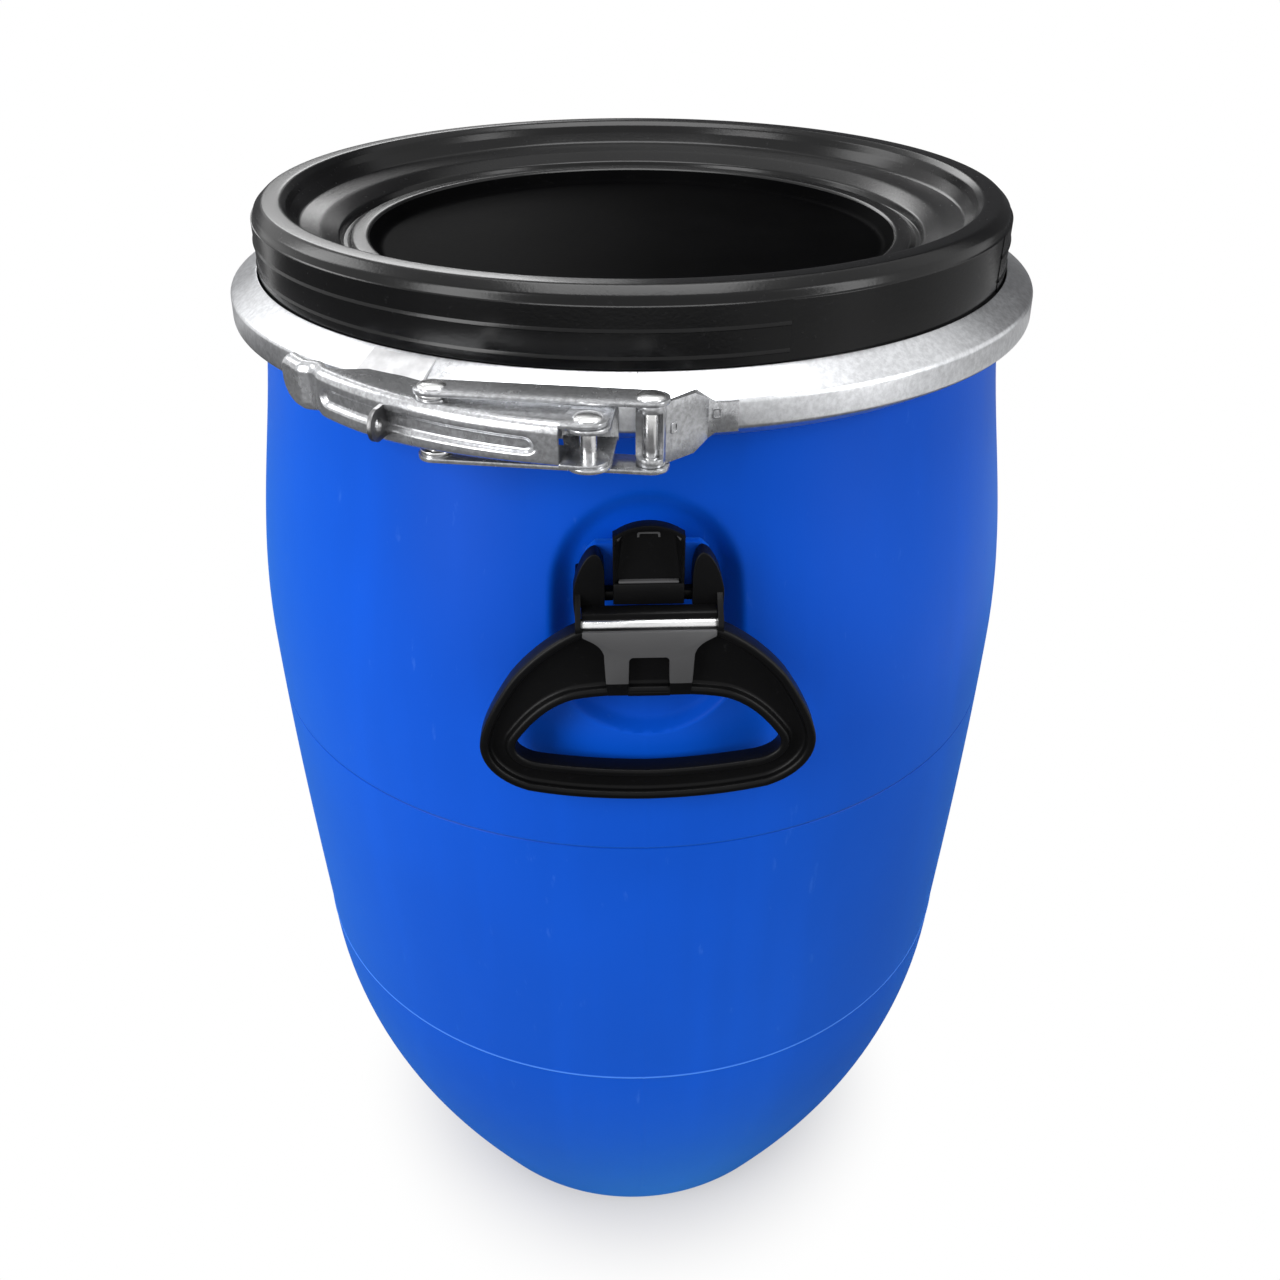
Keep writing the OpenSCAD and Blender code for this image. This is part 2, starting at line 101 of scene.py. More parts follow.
# Radius and height of a rivet head
HEAD = (5.2, 1.6)
SMALL_HEAD = (5.0, 1.3)
# The lower half's height at the ears, as a share, and the radius that the lever keeps clear of
EAR_LOW = 0.66
RING_CLEAR = 192.2
# Handles
PIN_Z = 496.0
PIN_Y = -203.0
EYE_HALF = 26.2


def polar(r, az):
    """A point in plan at an azimuth from the front, positive towards +X."""
    a = math.radians(az)
    return Vector((r * math.sin(a), -r * math.cos(a)))


def heading(v):
    return math.degrees(math.atan2(v.y, v.x))


# The lever's two ends, as azimuths about the centre of its curve
LEVER_TIP = heading(polar(199.5, -44.4) - LEVER_C) + 90
LEVER_END = heading(polar(223.0, -8.5) - LEVER_C) + 90


def smooth(low, high, x):
    t = max(0.0, min(1.0, (x - low) / (high - low)))
    return t * t * (3 - 2 * t)


def soft_min(a, b, reach):
    """The smaller of two values, with a rounded change from one to the other."""
    h = max(0.0, min(1.0, 0.5 + 0.5 * (b - a) / reach))
    return b * (1 - h) + a * h - reach * h * (1 - h)


def spread(low, high, count):
    return [low + (high - low) * i / count for i in range(count)]


def rounded(points, steps=4):
    """Profile points with their corners rounded: each is (x, y) or (x, y, radius)."""
    out = []
    n = len(points)
    for i, p in enumerate(points):
        here = Vector(p[:2])
        radius = p[2] if len(p) > 2 else 0.0
        before, after = Vector(points[i - 1][:2]), Vector(points[(i + 1) % n][:2])
        if not radius:
            out.append(here)
            continue
        u, v = (before - here).normalized(), (after - here).normalized()
        half = u.angle(v) / 2
        back = min(radius / math.tan(half), 0.49 * (before - here).length,
                   0.49 * (after - here).length)
        start, end = here + u * back, here + v * back
        for k in range(steps + 1):
            t = k / steps
            out.append(start.lerp(here, t).lerp(here.lerp(end, t), t))
    return out


def oblong(left, right, low, high, radius=0):
    """Outline of a rectangle, with its corners rounded if they have a radius."""
    corners = [(left, low), (right, low), (right, high), (left, high)]
    return rounded([c + (radius,) for c in corners], 3) if radius else corners


def curves(*points, count=12):
    """Points on cubic curves joined at every third point, without the last."""
    out = []
    for i in range(0, len(points) - 1, 3):
        a, b, c, d = (Vector(p) for p in points[i:i + 4])
        out += [a.lerp(b, t).lerp(b.lerp(c, t), t).lerp(b.lerp(c, t).lerp(c.lerp(d, t), t), t)
                for t in spread(0, 1, count)]
    return out


def loop_edges(bm, points, closed=True):
    """Vertices through 3-D points, joined by edges."""
    verts = [bm.verts.new(p) for p in points]
    pairs = list(zip(verts, verts[1:] + verts[:1])) if closed else list(zip(verts, verts[1:]))
    return verts, [bm.edges.new(pair) for pair in pairs]


def spin_shell(bm, profile, start_az, sections):
    """Spins an open profile of (radius, height) all the way round, in sections of
    (sweep, steps), and welds it."""
    at = [(polar(p[0], start_az).to_3d() + Vector((0, 0, p[1]))) for p in profile]
    verts, edges = loop_edges(bm, at, closed=False)
    last = verts + edges
    for sweep, steps in sections:
        last = bmesh.ops.spin(bm, geom=last, cent=(0, 0, 0), axis=(0, 0, 1),
                              angle=math.radians(sweep), steps=steps)["geom_last"]
    bmesh.ops.remove_doubles(bm, verts=bm.verts, dist=0.002)
    bmesh.ops.recalc_face_normals(bm, faces=bm.faces)


def spin_bar(bm, profile, start_az, sweep, steps, centre=(0, 0, 0)):
    """Spins a closed profile of (radius, height) part of the way round, with closed ends."""
    own = bmesh.new()
    c = Vector(centre)
    at = [(polar(p[0], start_az).to_3d() + Vector((0, 0, p[1])) + c) for p in profile]
    verts, _ = loop_edges(own, at)
    face = own.faces.new(verts)
    bmesh.ops.spin(own, geom=[face] + list(face.edges) + verts, cent=c, axis=(0, 0, 1),
                   angle=math.radians(sweep), steps=steps)
    bmesh.ops.recalc_face_normals(own, faces=own.faces)
    join(bm, own)


def join(bm, own, matrix=None):
    """Adds one bmesh to another and returns its new vertices."""
    if matrix is not None:
        bmesh.ops.transform(own, matrix=matrix, verts=own.verts)
        if matrix.determinant() < 0:
            bmesh.ops.reverse_faces(own, faces=own.faces)
    mesh = bpy.data.meshes.new("joining")
    own.to_mesh(mesh)
    own.free()
    count = len(bm.verts)
    bm.from_mesh(mesh)
    bpy.data.meshes.remove(mesh)
    bm.verts.ensure_lookup_table()
    return bm.verts[count:]


def sheet_of(loops):
    """A flat face through outlines in the XY plane: the first is the outside, the rest are holes."""
    own = bmesh.new()
    edges = []
    for loop in loops:
        edges += loop_edges(own, [Vector((p[0], p[1], 0)) for p in loop])[1]
    bmesh.ops.triangle_fill(own, use_beauty=True, edges=edges, normal=(0, 0, 1))
    bmesh.ops.recalc_face_normals(own, faces=own.faces)
    for face in own.faces:
        if face.normal.z < 0:
            face.normal_flip()
    return own


def thicken(own, thick):
    """Raises a flat sheet by its thickness along +Z, and returns the raised faces."""
    made = bmesh.ops.extrude_face_region(own, geom=list(own.faces))["geom"]
    bmesh.ops.translate(own, vec=(0, 0, thick),
                        verts=[g for g in made if isinstance(g, bmesh.types.BMVert)])
    bmesh.ops.recalc_face_normals(own, faces=own.faces)
    return [g for g in made if isinstance(g, bmesh.types.BMFace)]


def sink(own, raised, rim, slope, depth):
    """Sinks the raised faces inside a rim, down a slope of a width."""
    for width, drop in ((rim, 0), (slope, -depth)):
        bmesh.ops.inset_region(own, faces=raised, thickness=width, depth=drop,
                               use_boundary=True, use_even_offset=True)


def round_edges(own, offset, segments=3, over=30.0, keep=None):
    """Bevels every edge that is sharper than an angle in degrees."""
    limit = math.radians(over)
    edges = [e for e in own.edges if len(e.link_faces) == 2
             and e.calc_face_angle(0) > limit and (keep is None or keep(e))]
    bmesh.ops.bevel(own, geom=edges, offset=offset, segments=segments, profile=0.5,
                    affect="EDGES", material=-1, clamp_overlap=True)


def slab(bm, loops, low, thick, matrix=None, edge=0.0, segments=2):
    """A plate with holes, standing on the XY plane at a height, with rounded edges."""
    own = sheet_of(loops)
    thicken(own, thick)
    if edge:
        round_edges(own, edge, segments)
    bmesh.ops.translate(own, vec=(0, 0, low), verts=own.verts)
    return join(bm, own, matrix)


def ring_of(centre, radius, count=40, start=0.0, end=360.0):
    """Points on a circle, or on an arc of it."""
    steps = count if abs(end - start) >= 360 else count + 1
    turns = [math.radians(start + (end - start) * i / count) for i in range(steps)]
    return [Vector((centre[0] + radius * math.cos(a), centre[1] + radius * math.sin(a)))
            for a in turns]


UPRIGHT = Matrix.Rotation(math.pi / 2, 4, "X")
TURNED = Matrix.Rotation(math.pi, 4, "Z")
# Stands a (Y, Z) profile up, with its thickness along +X
CROSSWISE = Matrix(((0, 0, 1, 0), (1, 0, 0, 0), (0, 1, 0, 0), (0, 0, 0, 1)))


def copy_of(node):
    """A bmesh in millimetres with a frame node's mesh, its doubles merged and flats dissolved."""
    own = bmesh.new()
    own.from_mesh(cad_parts[node].data)
    bmesh.ops.scale(own, vec=(1000, 1000, 1000), verts=own.verts)
    bmesh.ops.remove_doubles(own, verts=own.verts, dist=0.002)
    bmesh.ops.dissolve_limit(own, angle_limit=math.radians(0.5), verts=own.verts, edges=own.edges)
    return own


def give_second(verts):
    """Gives the faces at these vertices the piece's second material."""
    for face in {f for v in verts for f in v.link_faces}:
        face.material_index = 1


def placed(name, data):
    """A new object of the scene, at the origin."""
    made = bpy.data.objects.new(name, data)
    bpy.context.scene.collection.objects.link(made)
    return made


def meshed(name, bm, *materials):
    """A new object from a bmesh, with its materials."""
    mesh = bpy.data.meshes.new(name)
    bm.to_mesh(mesh)
    bm.free()
    for material in materials:
        mesh.materials.append(material)
    return placed(name, mesh)


def finished(name, bm, material, body, replaces=(), sharp=32.0, turn=None, second=None):
    """Makes the piece: an object at the origin, in metres, that rides on a body."""
    if turn is not None:
        bmesh.ops.transform(bm, matrix=turn, verts=bm.verts)
    bmesh.ops.scale(bm, vec=(MM, MM, MM), verts=bm.verts)
    limit = math.radians(sharp)
    for face in bm.faces:
        face.smooth = True
    for edge in bm.edges:
        edge.smooth = len(edge.link_faces) == 2 and edge.calc_face_angle(0) < limit
    piece = meshed(name, bm, material, *([second] if second else []))
    if body:
        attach(piece, body)
    if replaces:
        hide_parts(*replaces)
    return piece


# ---------------------------------------------------------------- finishes

class Wire:
    """A socket's value: sums and products of it add Math nodes."""

    def __init__(self, finish, socket):
        self.finish, self.socket = finish, socket

    def _math(self, operation, *values):
        return self.finish.node("ShaderNodeMath", dict(enumerate(values)), operation=operation)

    def __add__(self, other):
        return self._math("ADD", self, other)

    def __radd__(self, other):
        return self._math("ADD", other, self)

    def __sub__(self, other):
        return self._math("SUBTRACT", self, other)

    def __rsub__(self, other):
        return self._math("SUBTRACT", other, self)

    def __mul__(self, other):
        return self._math("MULTIPLY", self, other)

    def __rmul__(self, other):
        return self._math("MULTIPLY", other, self)

    def __abs__(self):
        return self._math("ABSOLUTE", self)

    def between(self, low, high):
        """0 below low, 1 above high, with a soft change."""
        return self.finish.node("ShaderNodeMapRange",
                                {"Value": self, "From Min": low, "From Max": high},
                                interpolation_type="SMOOTHSTEP")


class Finish:
    """A procedural material, built node by node."""

    def __init__(self, name, **constants):
        self.material = bpy.data.materials.new(name)
        self.material.use_nodes = True
        self.tree = self.material.node_tree
        self.shader = next(n for n in self.tree.nodes if n.type == "BSDF_PRINCIPLED")
        for key, value in constants.items():
            self.shader.inputs[key.replace("_", " ")].default_value = value

    def node(self, kind, inputs=None, output=0, **settings):
        """Adds a node: its settings first, then the values or wires of its sockets."""
        made = self.tree.nodes.new(kind)
        for key, value in settings.items():
            setattr(made, key, value)
        for key, value in (inputs or {}).items():
            self.put(made.inputs[key], value)
        return Wire(self, made.outputs[output])

    def put(self, socket, value):
        if isinstance(value, Wire):
            self.tree.links.new(value.socket, socket)
        else:
            socket.default_value = value

    def place(self, scale=(1, 1, 1)):
        """The object's own coordinates in metres, stretched by a scale."""
        here = self.node("ShaderNodeTexCoord", output="Object")
        return self.node("ShaderNodeMapping", {"Vector": here, "Scale": scale})

    def parts(self):
        """The object's X, Y and Z in metres."""
        here = self.node("ShaderNodeTexCoord", output="Object")
        split = self.node("ShaderNodeSeparateXYZ", {0: here}).socket.node
        return [Wire(self, split.outputs[i]) for i in range(3)]

    def noise(self, scale, detail=3.0, rough=0.5, stretch=(1, 1, 1)):
        return self.node("ShaderNodeTexNoise",
                         {"Vector": self.place(stretch), "Scale": scale, "Detail": detail,
                          "Roughness": rough})

    def around(self, scale, thin, detail=2.0):
        """Noise drawn out round the drum's axis, as rolling and spinning leave it."""
        x, y, z = self.parts()
        radius = self.node("ShaderNodeMath", {0: x * x + y * y}, operation="SQRT")
        turn = self.node("ShaderNodeMath", {0: y, 1: x}, operation="ARCTAN2")
        there = self.node("ShaderNodeCombineXYZ", {0: radius * thin, 1: turn, 2: z * thin})
        return self.node("ShaderNodeTexNoise", {"Vector": there, "Scale": scale, "Detail": detail})

    def blend(self, amount, first, second):
        """A colour between two others."""
        mixed = self.node("ShaderNodeMix", data_type="RGBA").socket.node
        self.put(mixed.inputs[0], amount)
        self.put(mixed.inputs[6], first)
        self.put(mixed.inputs[7], second)
        return Wire(self, mixed.outputs[2])

    def bump(self, height, distance, strength=1.0, normal=None):
        inputs = {"Height": height, "Distance": distance, "Strength": strength}
        if normal is not None:
            inputs["Normal"] = normal
        return self.node("ShaderNodeBump", inputs)

    def set(self, **wires):
        for key, value in wires.items():
            self.put(self.shader.inputs[key.replace("_", " ")], value)
        return self.material


def tint(colour, factor):
    return tuple(min(1.0, c * factor) for c in colour[:3]) + (1.0,)


FINISHES = {}


def finish_named(name):
    """The finish of a kind, made once."""
    if name not in FINISHES:
        FINISHES[name] = (moulded_black(name, *BLACKS[name]) if name in BLACKS
                          else MAKERS[name]())
    return FINISHES[name]


def chosen(name):
    """A colour from the settings."""
    return tuple(getattr(bpy.context.scene.drum_colours, name))


def blown_wall():
    """Blow moulded wall: satin, with faint flow streaks, fine grain and scuffs; its two seams are
    painted as a light line and a dark line, a painted highlight and a painted shade.
    """
    base, scuff_and_highlight = chosen("wall"), chosen("seam")
    f = Finish("blue_wall", IOR=1.22, Specular_IOR_Level=0.4, Sheen_Weight=0.3, Sheen_Roughness=0.45,
               Sheen_Tint=(0.08, 0.5, 1.0, 1))
    z = f.parts()[2]
    cloud = f.noise(5.0, 3.0)
    streak = f.noise(30.0, 3.0, stretch=(1, 1, 0.07))
    grain = f.noise(900.0, 2.0)
    scuff = f.noise(160.0, 4.0, 0.6, stretch=(1, 1, 0.25)).between(0.66, 0.74)
    colour = f.blend(cloud.between(0.3, 0.7), tint(base, 0.93), tint(base, 1.05))
    colour = f.blend(streak.between(0.45, 0.8) * 0.22, colour, tint(base, 1.35))
    # The lower seam's ridge is painted lighter in the scuffs' colour: a painted highlight
    seam_highlight = 1 - abs(z - LOW_Z * MM).between(0.0002, 0.0009)
    # The upper seam's groove is painted darker: a painted shade
    seam_shade = 1 - abs(z - SEAM_Z * MM).between(0.0002, 0.0007)
    colour = f.blend(seam_highlight * 0.55, colour, scuff_and_highlight)
    colour = f.blend(seam_shade * 0.5, colour, tint(base, 0.35))
    colour = f.blend(scuff * 0.12, colour, scuff_and_highlight)
    rough = 0.36 + cloud * 0.06 + scuff * 0.15 + streak * 0.05
    normal = f.bump(grain, 0.00006, 0.5)
    normal = f.bump(f.noise(60.0, 2.0), 0.0005, 0.12, normal)
    return f.set(Base_Color=colour, Roughness=rough, Normal=normal)


def moulded_black(name, colour, shade, rough, grain_scale, specular, dusty, index):
    """Injection moulded black plastic: fine grain, dust and light wear."""
    base = tint(chosen(colour), shade)
    f = Finish(name, IOR=index, Specular_IOR_Level=specular)
    cloud = f.noise(14.0, 3.0)
    fine = f.noise(grain_scale, 2.0)
    dust = f.noise(420.0, 5.0, 0.7).between(0.6, 0.75)
    colour = f.blend(cloud.between(0.35, 0.7), tint(base, 0.8), tint(base, 1.25))
    colour = f.blend(dust * dusty, colour, (0.16, 0.16, 0.17, 1))
    turned = f.around(14.0, 180.0)
    roughness = rough + cloud * 0.08 + dust * 0.12 + turned * 0.05
    normal = f.bump(fine, 0.00006, 0.6)
    return f.set(Base_Color=colour, Roughness=roughness, Normal=normal)


# Colour in the settings, its shade, roughness, grain, specular level, dust and index
BLACKS = {"black_lid": ("lid", 1, 0.15, 700.0, 0.5, 0.03, 1.32),
          # The panel's copy of the lid black, its colour halved: painted shade, with almost no
          # reflection
          "black_lid_panel": ("lid", 0.5, 0.3, 500.0, 0.5, 0.03, 1.025),
          "black_handle": ("handle", 1, 0.28, 1400.0, 0.12, 0.04, 1.5),
          # A lighter copy of the handle black: painted light on the grips' neck plates and painted
          # highlights on the brackets' edges and steps
          "smooth_neck": ("neck", 1, 0.3, 1400.0, 0.4, 0.08, 1.5)}


def zinc_plate():
    """Galvanised strip: mottled spangle, rolling lines and a few handling marks."""
    base = chosen("zinc")
    f = Finish("zinc_steel", Metallic=1.0)
    spangle = f.noise(420.0, 4.0, 0.65)
    cloud = f.noise(34.0, 3.0)
    lines = f.around(10.0, 900.0)
    mark = f.noise(260.0, 3.0, 0.6, stretch=(1, 1, 0.4)).between(0.66, 0.74)
    colour = f.blend(spangle.between(0.3, 0.7), tint(base, 0.82), tint(base, 1.06))
    colour = f.blend(cloud.between(0.5, 0.8) * 0.3, colour, tint(base, 0.82))
    colour = f.blend(mark * 0.3, colour, tint(base, 0.6))
    rough = 0.21 + spangle * 0.1 + cloud * 0.10 + mark * 0.15
    normal = f.bump(lines, 0.00004, 0.3)
    normal = f.bump(cloud, 0.0003, 0.08, normal)
    return f.set(Base_Color=colour, Roughness=rough, Normal=normal)


def dull_zinc():
    """The latch's sheet, duller than the rolled ring."""
    base = tint(chosen("zinc"), 0.78)
    f = Finish("dull_zinc", Metallic=0.85)
    spangle = f.noise(520.0, 5.0, 0.7)
    cloud = f.noise(50.0, 3.0)
    scratch = f.noise(240.0, 3.0, 0.6, stretch=(1, 1, 0.3)).between(0.62, 0.74)
    colour = f.blend(spangle.between(0.32, 0.68), tint(base, 0.66), tint(base, 1.04))
    colour = f.blend(scratch * 0.35, colour, tint(base, 0.5))
    rough = 0.19 + cloud * 0.12 + scratch * 0.12
    normal = f.bump(spangle, 0.00006, 0.4)
    return f.set(Base_Color=colour, Roughness=rough, Normal=f.bump(cloud, 0.0004, 0.1, normal))


def matt_zinc():
    """The sheet of the seal bracket, matt from its own coating."""
    f = Finish("matt_zinc", Metallic=0.3)
    cloud = f.noise(160.0, 4.0)
    return f.set(Base_Color=f.blend(cloud.between(0.3, 0.7), (0.5, 0.5, 0.51, 1),
                                    (0.66, 0.66, 0.67, 1)), Roughness=0.45 + cloud * 0.1)


def stamped_dark():
    """The seal lug's sheet, dark grey: painted shade for the shade its face stands in."""
    f = Finish("stamped_dark", Metallic=1.0)
    cloud = f.noise(200.0, 3.0)
    return f.set(Base_Color=f.blend(cloud, (0.1, 0.1, 0.105, 1), (0.2, 0.2, 0.2, 1)),
                 Roughness=0.35 + cloud * 0.15)


def bright_pin():
    """Drawn steel wire and rivet heads, lightly scratched."""
    base = chosen("steel")
    f = Finish("bright_steel", Metallic=1.0)
    scratch = f.noise(300.0, 3.0, 0.6, stretch=(0.3, 1, 1))
    colour = f.blend(scratch.between(0.3, 0.7), tint(base, 0.85), tint(base, 1.05))
    rough = 0.16 + scratch * 0.18
    return f.set(Base_Color=colour, Roughness=rough, Normal=f.bump(scratch, 0.00005, 0.4))


def rubber():
    """Foamed seal: dark, matt and slightly porous."""
    f = Finish("seal_rubber", IOR=1.5, Specular_IOR_Level=0.3)
    pores = f.noise(1100.0, 3.0)
    cloud = f.noise(40.0, 2.0)
    colour = f.blend(cloud, (0.018, 0.018, 0.019, 1), (0.05, 0.05, 0.052, 1))
    return f.set(Base_Color=colour, Roughness=0.75 + pores * 0.15,
                 Normal=f.bump(pores, 0.0002, 0.6))


MAKERS = {"blue_hdpe": blown_wall, "zinc_steel": zinc_plate, "dull_zinc": dull_zinc,
          "stamped_dark": stamped_dark, "matt_zinc": matt_zinc, "bright_steel": bright_pin,
          "seal_rubber": rubber}


# ---------------------------------------------------------------- drum

def wall_radius(z):
    """The wall's outer radius at a height: bowl, long wall and shoulder."""
    if z < LOW_Z:
        cut = HEEL * (1 - math.sqrt(max(0.0, 1 - (1 - z / HEEL) ** 2))) if z < HEEL else 0
        return BASE_R + (LOW_R - BASE_R) * math.sin(math.pi / 2 * z / LOW_Z) - cut
    if z < BELLY_Z:
        return LOW_R + (BELLY_R - LOW_R) * math.sin(math.pi / 2 * (z - LOW_Z) / (BELLY_Z - LOW_Z))
    t = min(1.0, (z - BELLY_Z) / (NECK_Z - BELLY_Z))
    return NECK_R + (BELLY_R - NECK_R) * max(0.0, math.cos(math.pi / 2 * t)) ** 1.4


def recess_depth(x, z, out, wall):
    """How far out the wall stands at a place near the handle: the recess takes some away."""
    sizes = bpy.context.scene.drum_sizes
    half = sizes.recess_width / MM / 2
    low, high = RECESS_FOOT, RECESS_TOP - half
    along = max(0.0, low - z, z - high)
    away = math.hypot(x, along) - half
    down = smooth(4, 30, low - z)
    soft = 14.0 - 9.0 * down
    round_off = 7.0 - 5.4 * down
    lean = max(0.0, min(1.0, (502.0 - z) / 65.0)) ** 1.6
    rise = max(0.0, away + soft) / soft
    floor = RECESS_FLOOR - wall + 13.5 * lean + (20.0 - 13.0 * down) * rise ** 2
    if rise > 1:
        floor += 12.0 * (rise - 1)
    return soft_min(out, floor, round_off)


def shape_wall(bm, wall):
    """Presses the handle recesses and the parting line into the spun wall."""
    for v in bm.verts:
        r = math.hypot(v.co.x, v.co.y)
        if r > 150 and 415 < v.co.z < 560 and abs(v.co.x) <= 75:
            inner = r < wall_radius(v.co.z) - 1.5
            out = recess_depth(v.co.x, v.co.z, abs(v.co.y), wall if inner else 0.0)
            v.co.y = math.copysign(out, v.co.y)
    for v in bm.verts:
        r = math.hypot(v.co.x, v.co.y)
        if abs(v.co.x) < 0.3 and 20 < v.co.z < NECK_Z and r > wall_radius(v.co.z) - 30:
            if r > wall_radius(v.co.z) - 2 or 430 < v.co.z < 550:
                v.co.y += 0.16 if v.co.y > 0 else -0.16


class DRUM_OT_wall(bpy.types.Operator):
    """Spin the drum's wall, press its recesses and add the two bosses"""
    bl_idname = "drum.wall"
    bl_label = "Drum wall"

    def execute(self, context):
        sizes = context.scene.drum_sizes
        wall = sizes.wall / MM
        material = finish_named("blue_hdpe")
        heights = (spread(0, HEEL, 8) + spread(HEEL, 208, 26) + [208, 210, 211, 211.4, 211.7]
                   + [212, 212.3, 212.6, 213, 214, 216] + spread(222, 372, 16)
                   + [372, 373.6, 374.2, 374.5, 374.8, 375.1, 375.4, 376, 378]
                   + spread(384, 428, 5) + spread(428, 433, 3) + spread(433, 452, 21)
                   + spread(452, 552, 68) + spread(552, NECK_Z, 4))
        seam = {211.7: 0.2, 212: 0.35, 212.3: 0.2, 374.5: -0.25, 374.8: -0.4, 375.1: -0.25}
        outer = [(0, 3.2), (60, 2.6), (84, 2.2), (92, 1.2), (97, 0.3), (101, 0)]
        outer += [(wall_radius(z) + seam.get(z, 0), z) for z in heights]
        outer += rounded([(NECK_R, NECK_Z), (NECK_R, 564.5, 1), (179.5, 565.0, 0.5),
                          (FLANGE_R, 569.4, 1.2), (FLANGE_R, FLANGE_Z, 1.2),
                          (168.5, FLANGE_Z, 1.5), (168.5, MOUTH_TOP, 1.2),
                          (164.5, MOUTH_TOP, 1.2)])[1:]
        down = ([572] + spread(562, 552, 2) + spread(552, 424, 34) + spread(424, 214, 16)
                + spread(214, 20, 22) + [20, 15, 11, 8])
        inner = [(wall_radius(z) - wall * 1.1, z) for z in down if z < 565]
        inner = [(164.5, 600), (164.5, 572)] + inner + [(100, 6.2), (84, 6.6), (60, 6.9), (0, 7.4)]
        bm = bmesh.new()
        fine, coarse = (33.0, 94), (147.0, 98)
        spin_shell(bm, outer + inner, -16.5, [fine, coarse, fine, coarse])
        shape_wall(bm, wall)
        finished("drum_wall", bm, material, "drum", ["drum_body"], sharp=40)
        for name, turn in (("front_boss", None), ("rear_boss", TURNED)):
            bm = bmesh.new()
            slab(bm, [oblong(-11, 11, 499, 524)], 172, 13, UPRIGHT, 0.8)
            slab(bm, [[(-24, 499), (24, 499), (24, 520.5), (20.5, 524), (-20.5, 524), (-24, 520.5)]],
                 184, 4.5, UPRIGHT, 0.9)
            finished(name, bm, material, "drum", turn=turn)
        return {"FINISHED"}


# ---------------------------------------------------------------- lid

class DRUM_OT_lid(bpy.types.Operator):
    """Spin the lid with its rolled rim, stepped well and skirt ribs"""
    bl_idname = "drum.lid"
    bl_label = "Lid"

    def execute(self, context):
        sizes = context.scene.drum_sizes
        panel = sizes.panel_radius / MM
        top = [(0, 591.95), (panel, 591.95, 5), (panel + 5.4, 598.95, 3), (panel + 12.5, 598.95, 3),
               (134.5, 596.45, 1), (136.8, 596.45, 1), (138, 599.8, 2), (146, 603.8, 20),
               (155.4, 606.9, 3), (158.6, 611.95, 4), (160, 615.4, 2.5), (162.6, RIM_Z, 3),
               (170.4, RIM_Z, 3), (174.4, 614.4, 3), (174.9, 611.6, 0.6), (175.6, 611.0, 0.3),
               (175.6, 587.6, 2), (177.2, 585.84, 1), (FLANGE_R, 580.86, 1.5),
               (FLANGE_R, LID_SEAT_Z, 1), (172, LID_SEAT_Z, 1), (172, 613.95, 1),
               (163, 613.95, 1), (163, 604.65, 2), (156.4, 603.05, 2), (139, 595.85, 2),
               (137.5, 593.45, 1), (132.5, 593.45, 1), (131.1, 595.95, 1), (127, 595.95, 2),
               (121, 588.95, 3), (0, 588.95)]
        bm = bmesh.new()
        spin_shell(bm, rounded(top, 5), 0, [(360, 300)])
        rib = sizes.rib_height / MM
        for z in (592.15, 602.35):
            profile = [(174.8, z - 0.8), (175.7, z - 0.8), (175.6 + rib, z - 0.3),
                       (175.6 + rib, z), (175.9, z + 1.0), (174.8, z + 1.0)]
            spin_bar(bm, profile, 62.0, 315.5, 260)
        spin_bar(bm, [(174.8, 587.5), (175.9, 587.5), (175.9, 611.2), (174.8, 611.2)],
                 62.0, 315.5, 260)
        # The panel's faces take the darker copy of the lid black, a painted shade
        for face in bm.faces:
            middle = face.calc_center_median()
            if math.hypot(middle.x, middle.y) < panel + 3.4 and middle.z > 590:
                face.material_index = 1
        finished("lid_shell", bm, finish_named("black_lid"), "lid", ["lid"], sharp=28,
                 second=finish_named("black_lid_panel"))
        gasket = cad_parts["lid_gasket"].data.materials
        gasket.clear()
        gasket.append(finish_named("seal_rubber"))
        return {"FINISHED"}


# ---------------------------------------------------------------- closing ring

def ring_profile(thick):
    """Section of the rolled ring: a face between two sloping lips, each with a turned edge."""
    face, reach = 5.8, 6.2
    outer = [(TOP_LIP_R - 0.2, face + 7.3, 0.5), (TOP_LIP_R + 1.5, face + 6.3, 1.5),
             (RING_R - 0.4, face - 0.4, 2.6), (RING_R, -face, 2.6),
             (BOTTOM_LIP_R, -face - reach, 0.5)]
    inner = [(BOTTOM_LIP_R + 0.3, thick + 0.2 - face - reach, 0.3),
             (RING_R - thick, 0.8 - face, 1.6), (RING_R - thick, face - 0.9, 1.6),
             (TOP_LIP_R + 1.4, face + reach - thick, 0.4), (TOP_LIP_R - 0.4, face + 6.3, 0.3)]
    return rounded([(r, CLAMP_Z + z, corner) for r, z, corner in outer + inner], 5)


class DRUM_OT_ring(bpy.types.Operator):
    """Spin the closing ring: two stiff sides and the back between them"""
    bl_idname = "drum.ring"
    bl_label = "Closing ring"

    def execute(self, context):
        thick = context.scene.drum_sizes.ring_thickness / MM
        profile = ring_profile(thick)
        zinc = finish_named("zinc_steel")
        split = -1.2
        for name, start, sweep, body, node in (
                ("ring_left_band", 210.0, 150.0 + split - 0.03, "ring_left", "ring_left_half"),
                ("ring_right_band", split + 0.03, 150.0 - split - 0.03, "ring_right",
                 "ring_right_half")):
            bm = bmesh.new()
            spin_bar(bm, profile, start, sweep, 150)
            finished(name, bm, zinc, body, [node], sharp=38)
        bm = bmesh.new()
        spin_bar(bm, profile, 150.0, 60.0, 60)
        back = finished("ring_back_band", bm, zinc, None, sharp=38)
        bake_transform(back)
        return {"FINISHED"}


# ---------------------------------------------------------------- latch

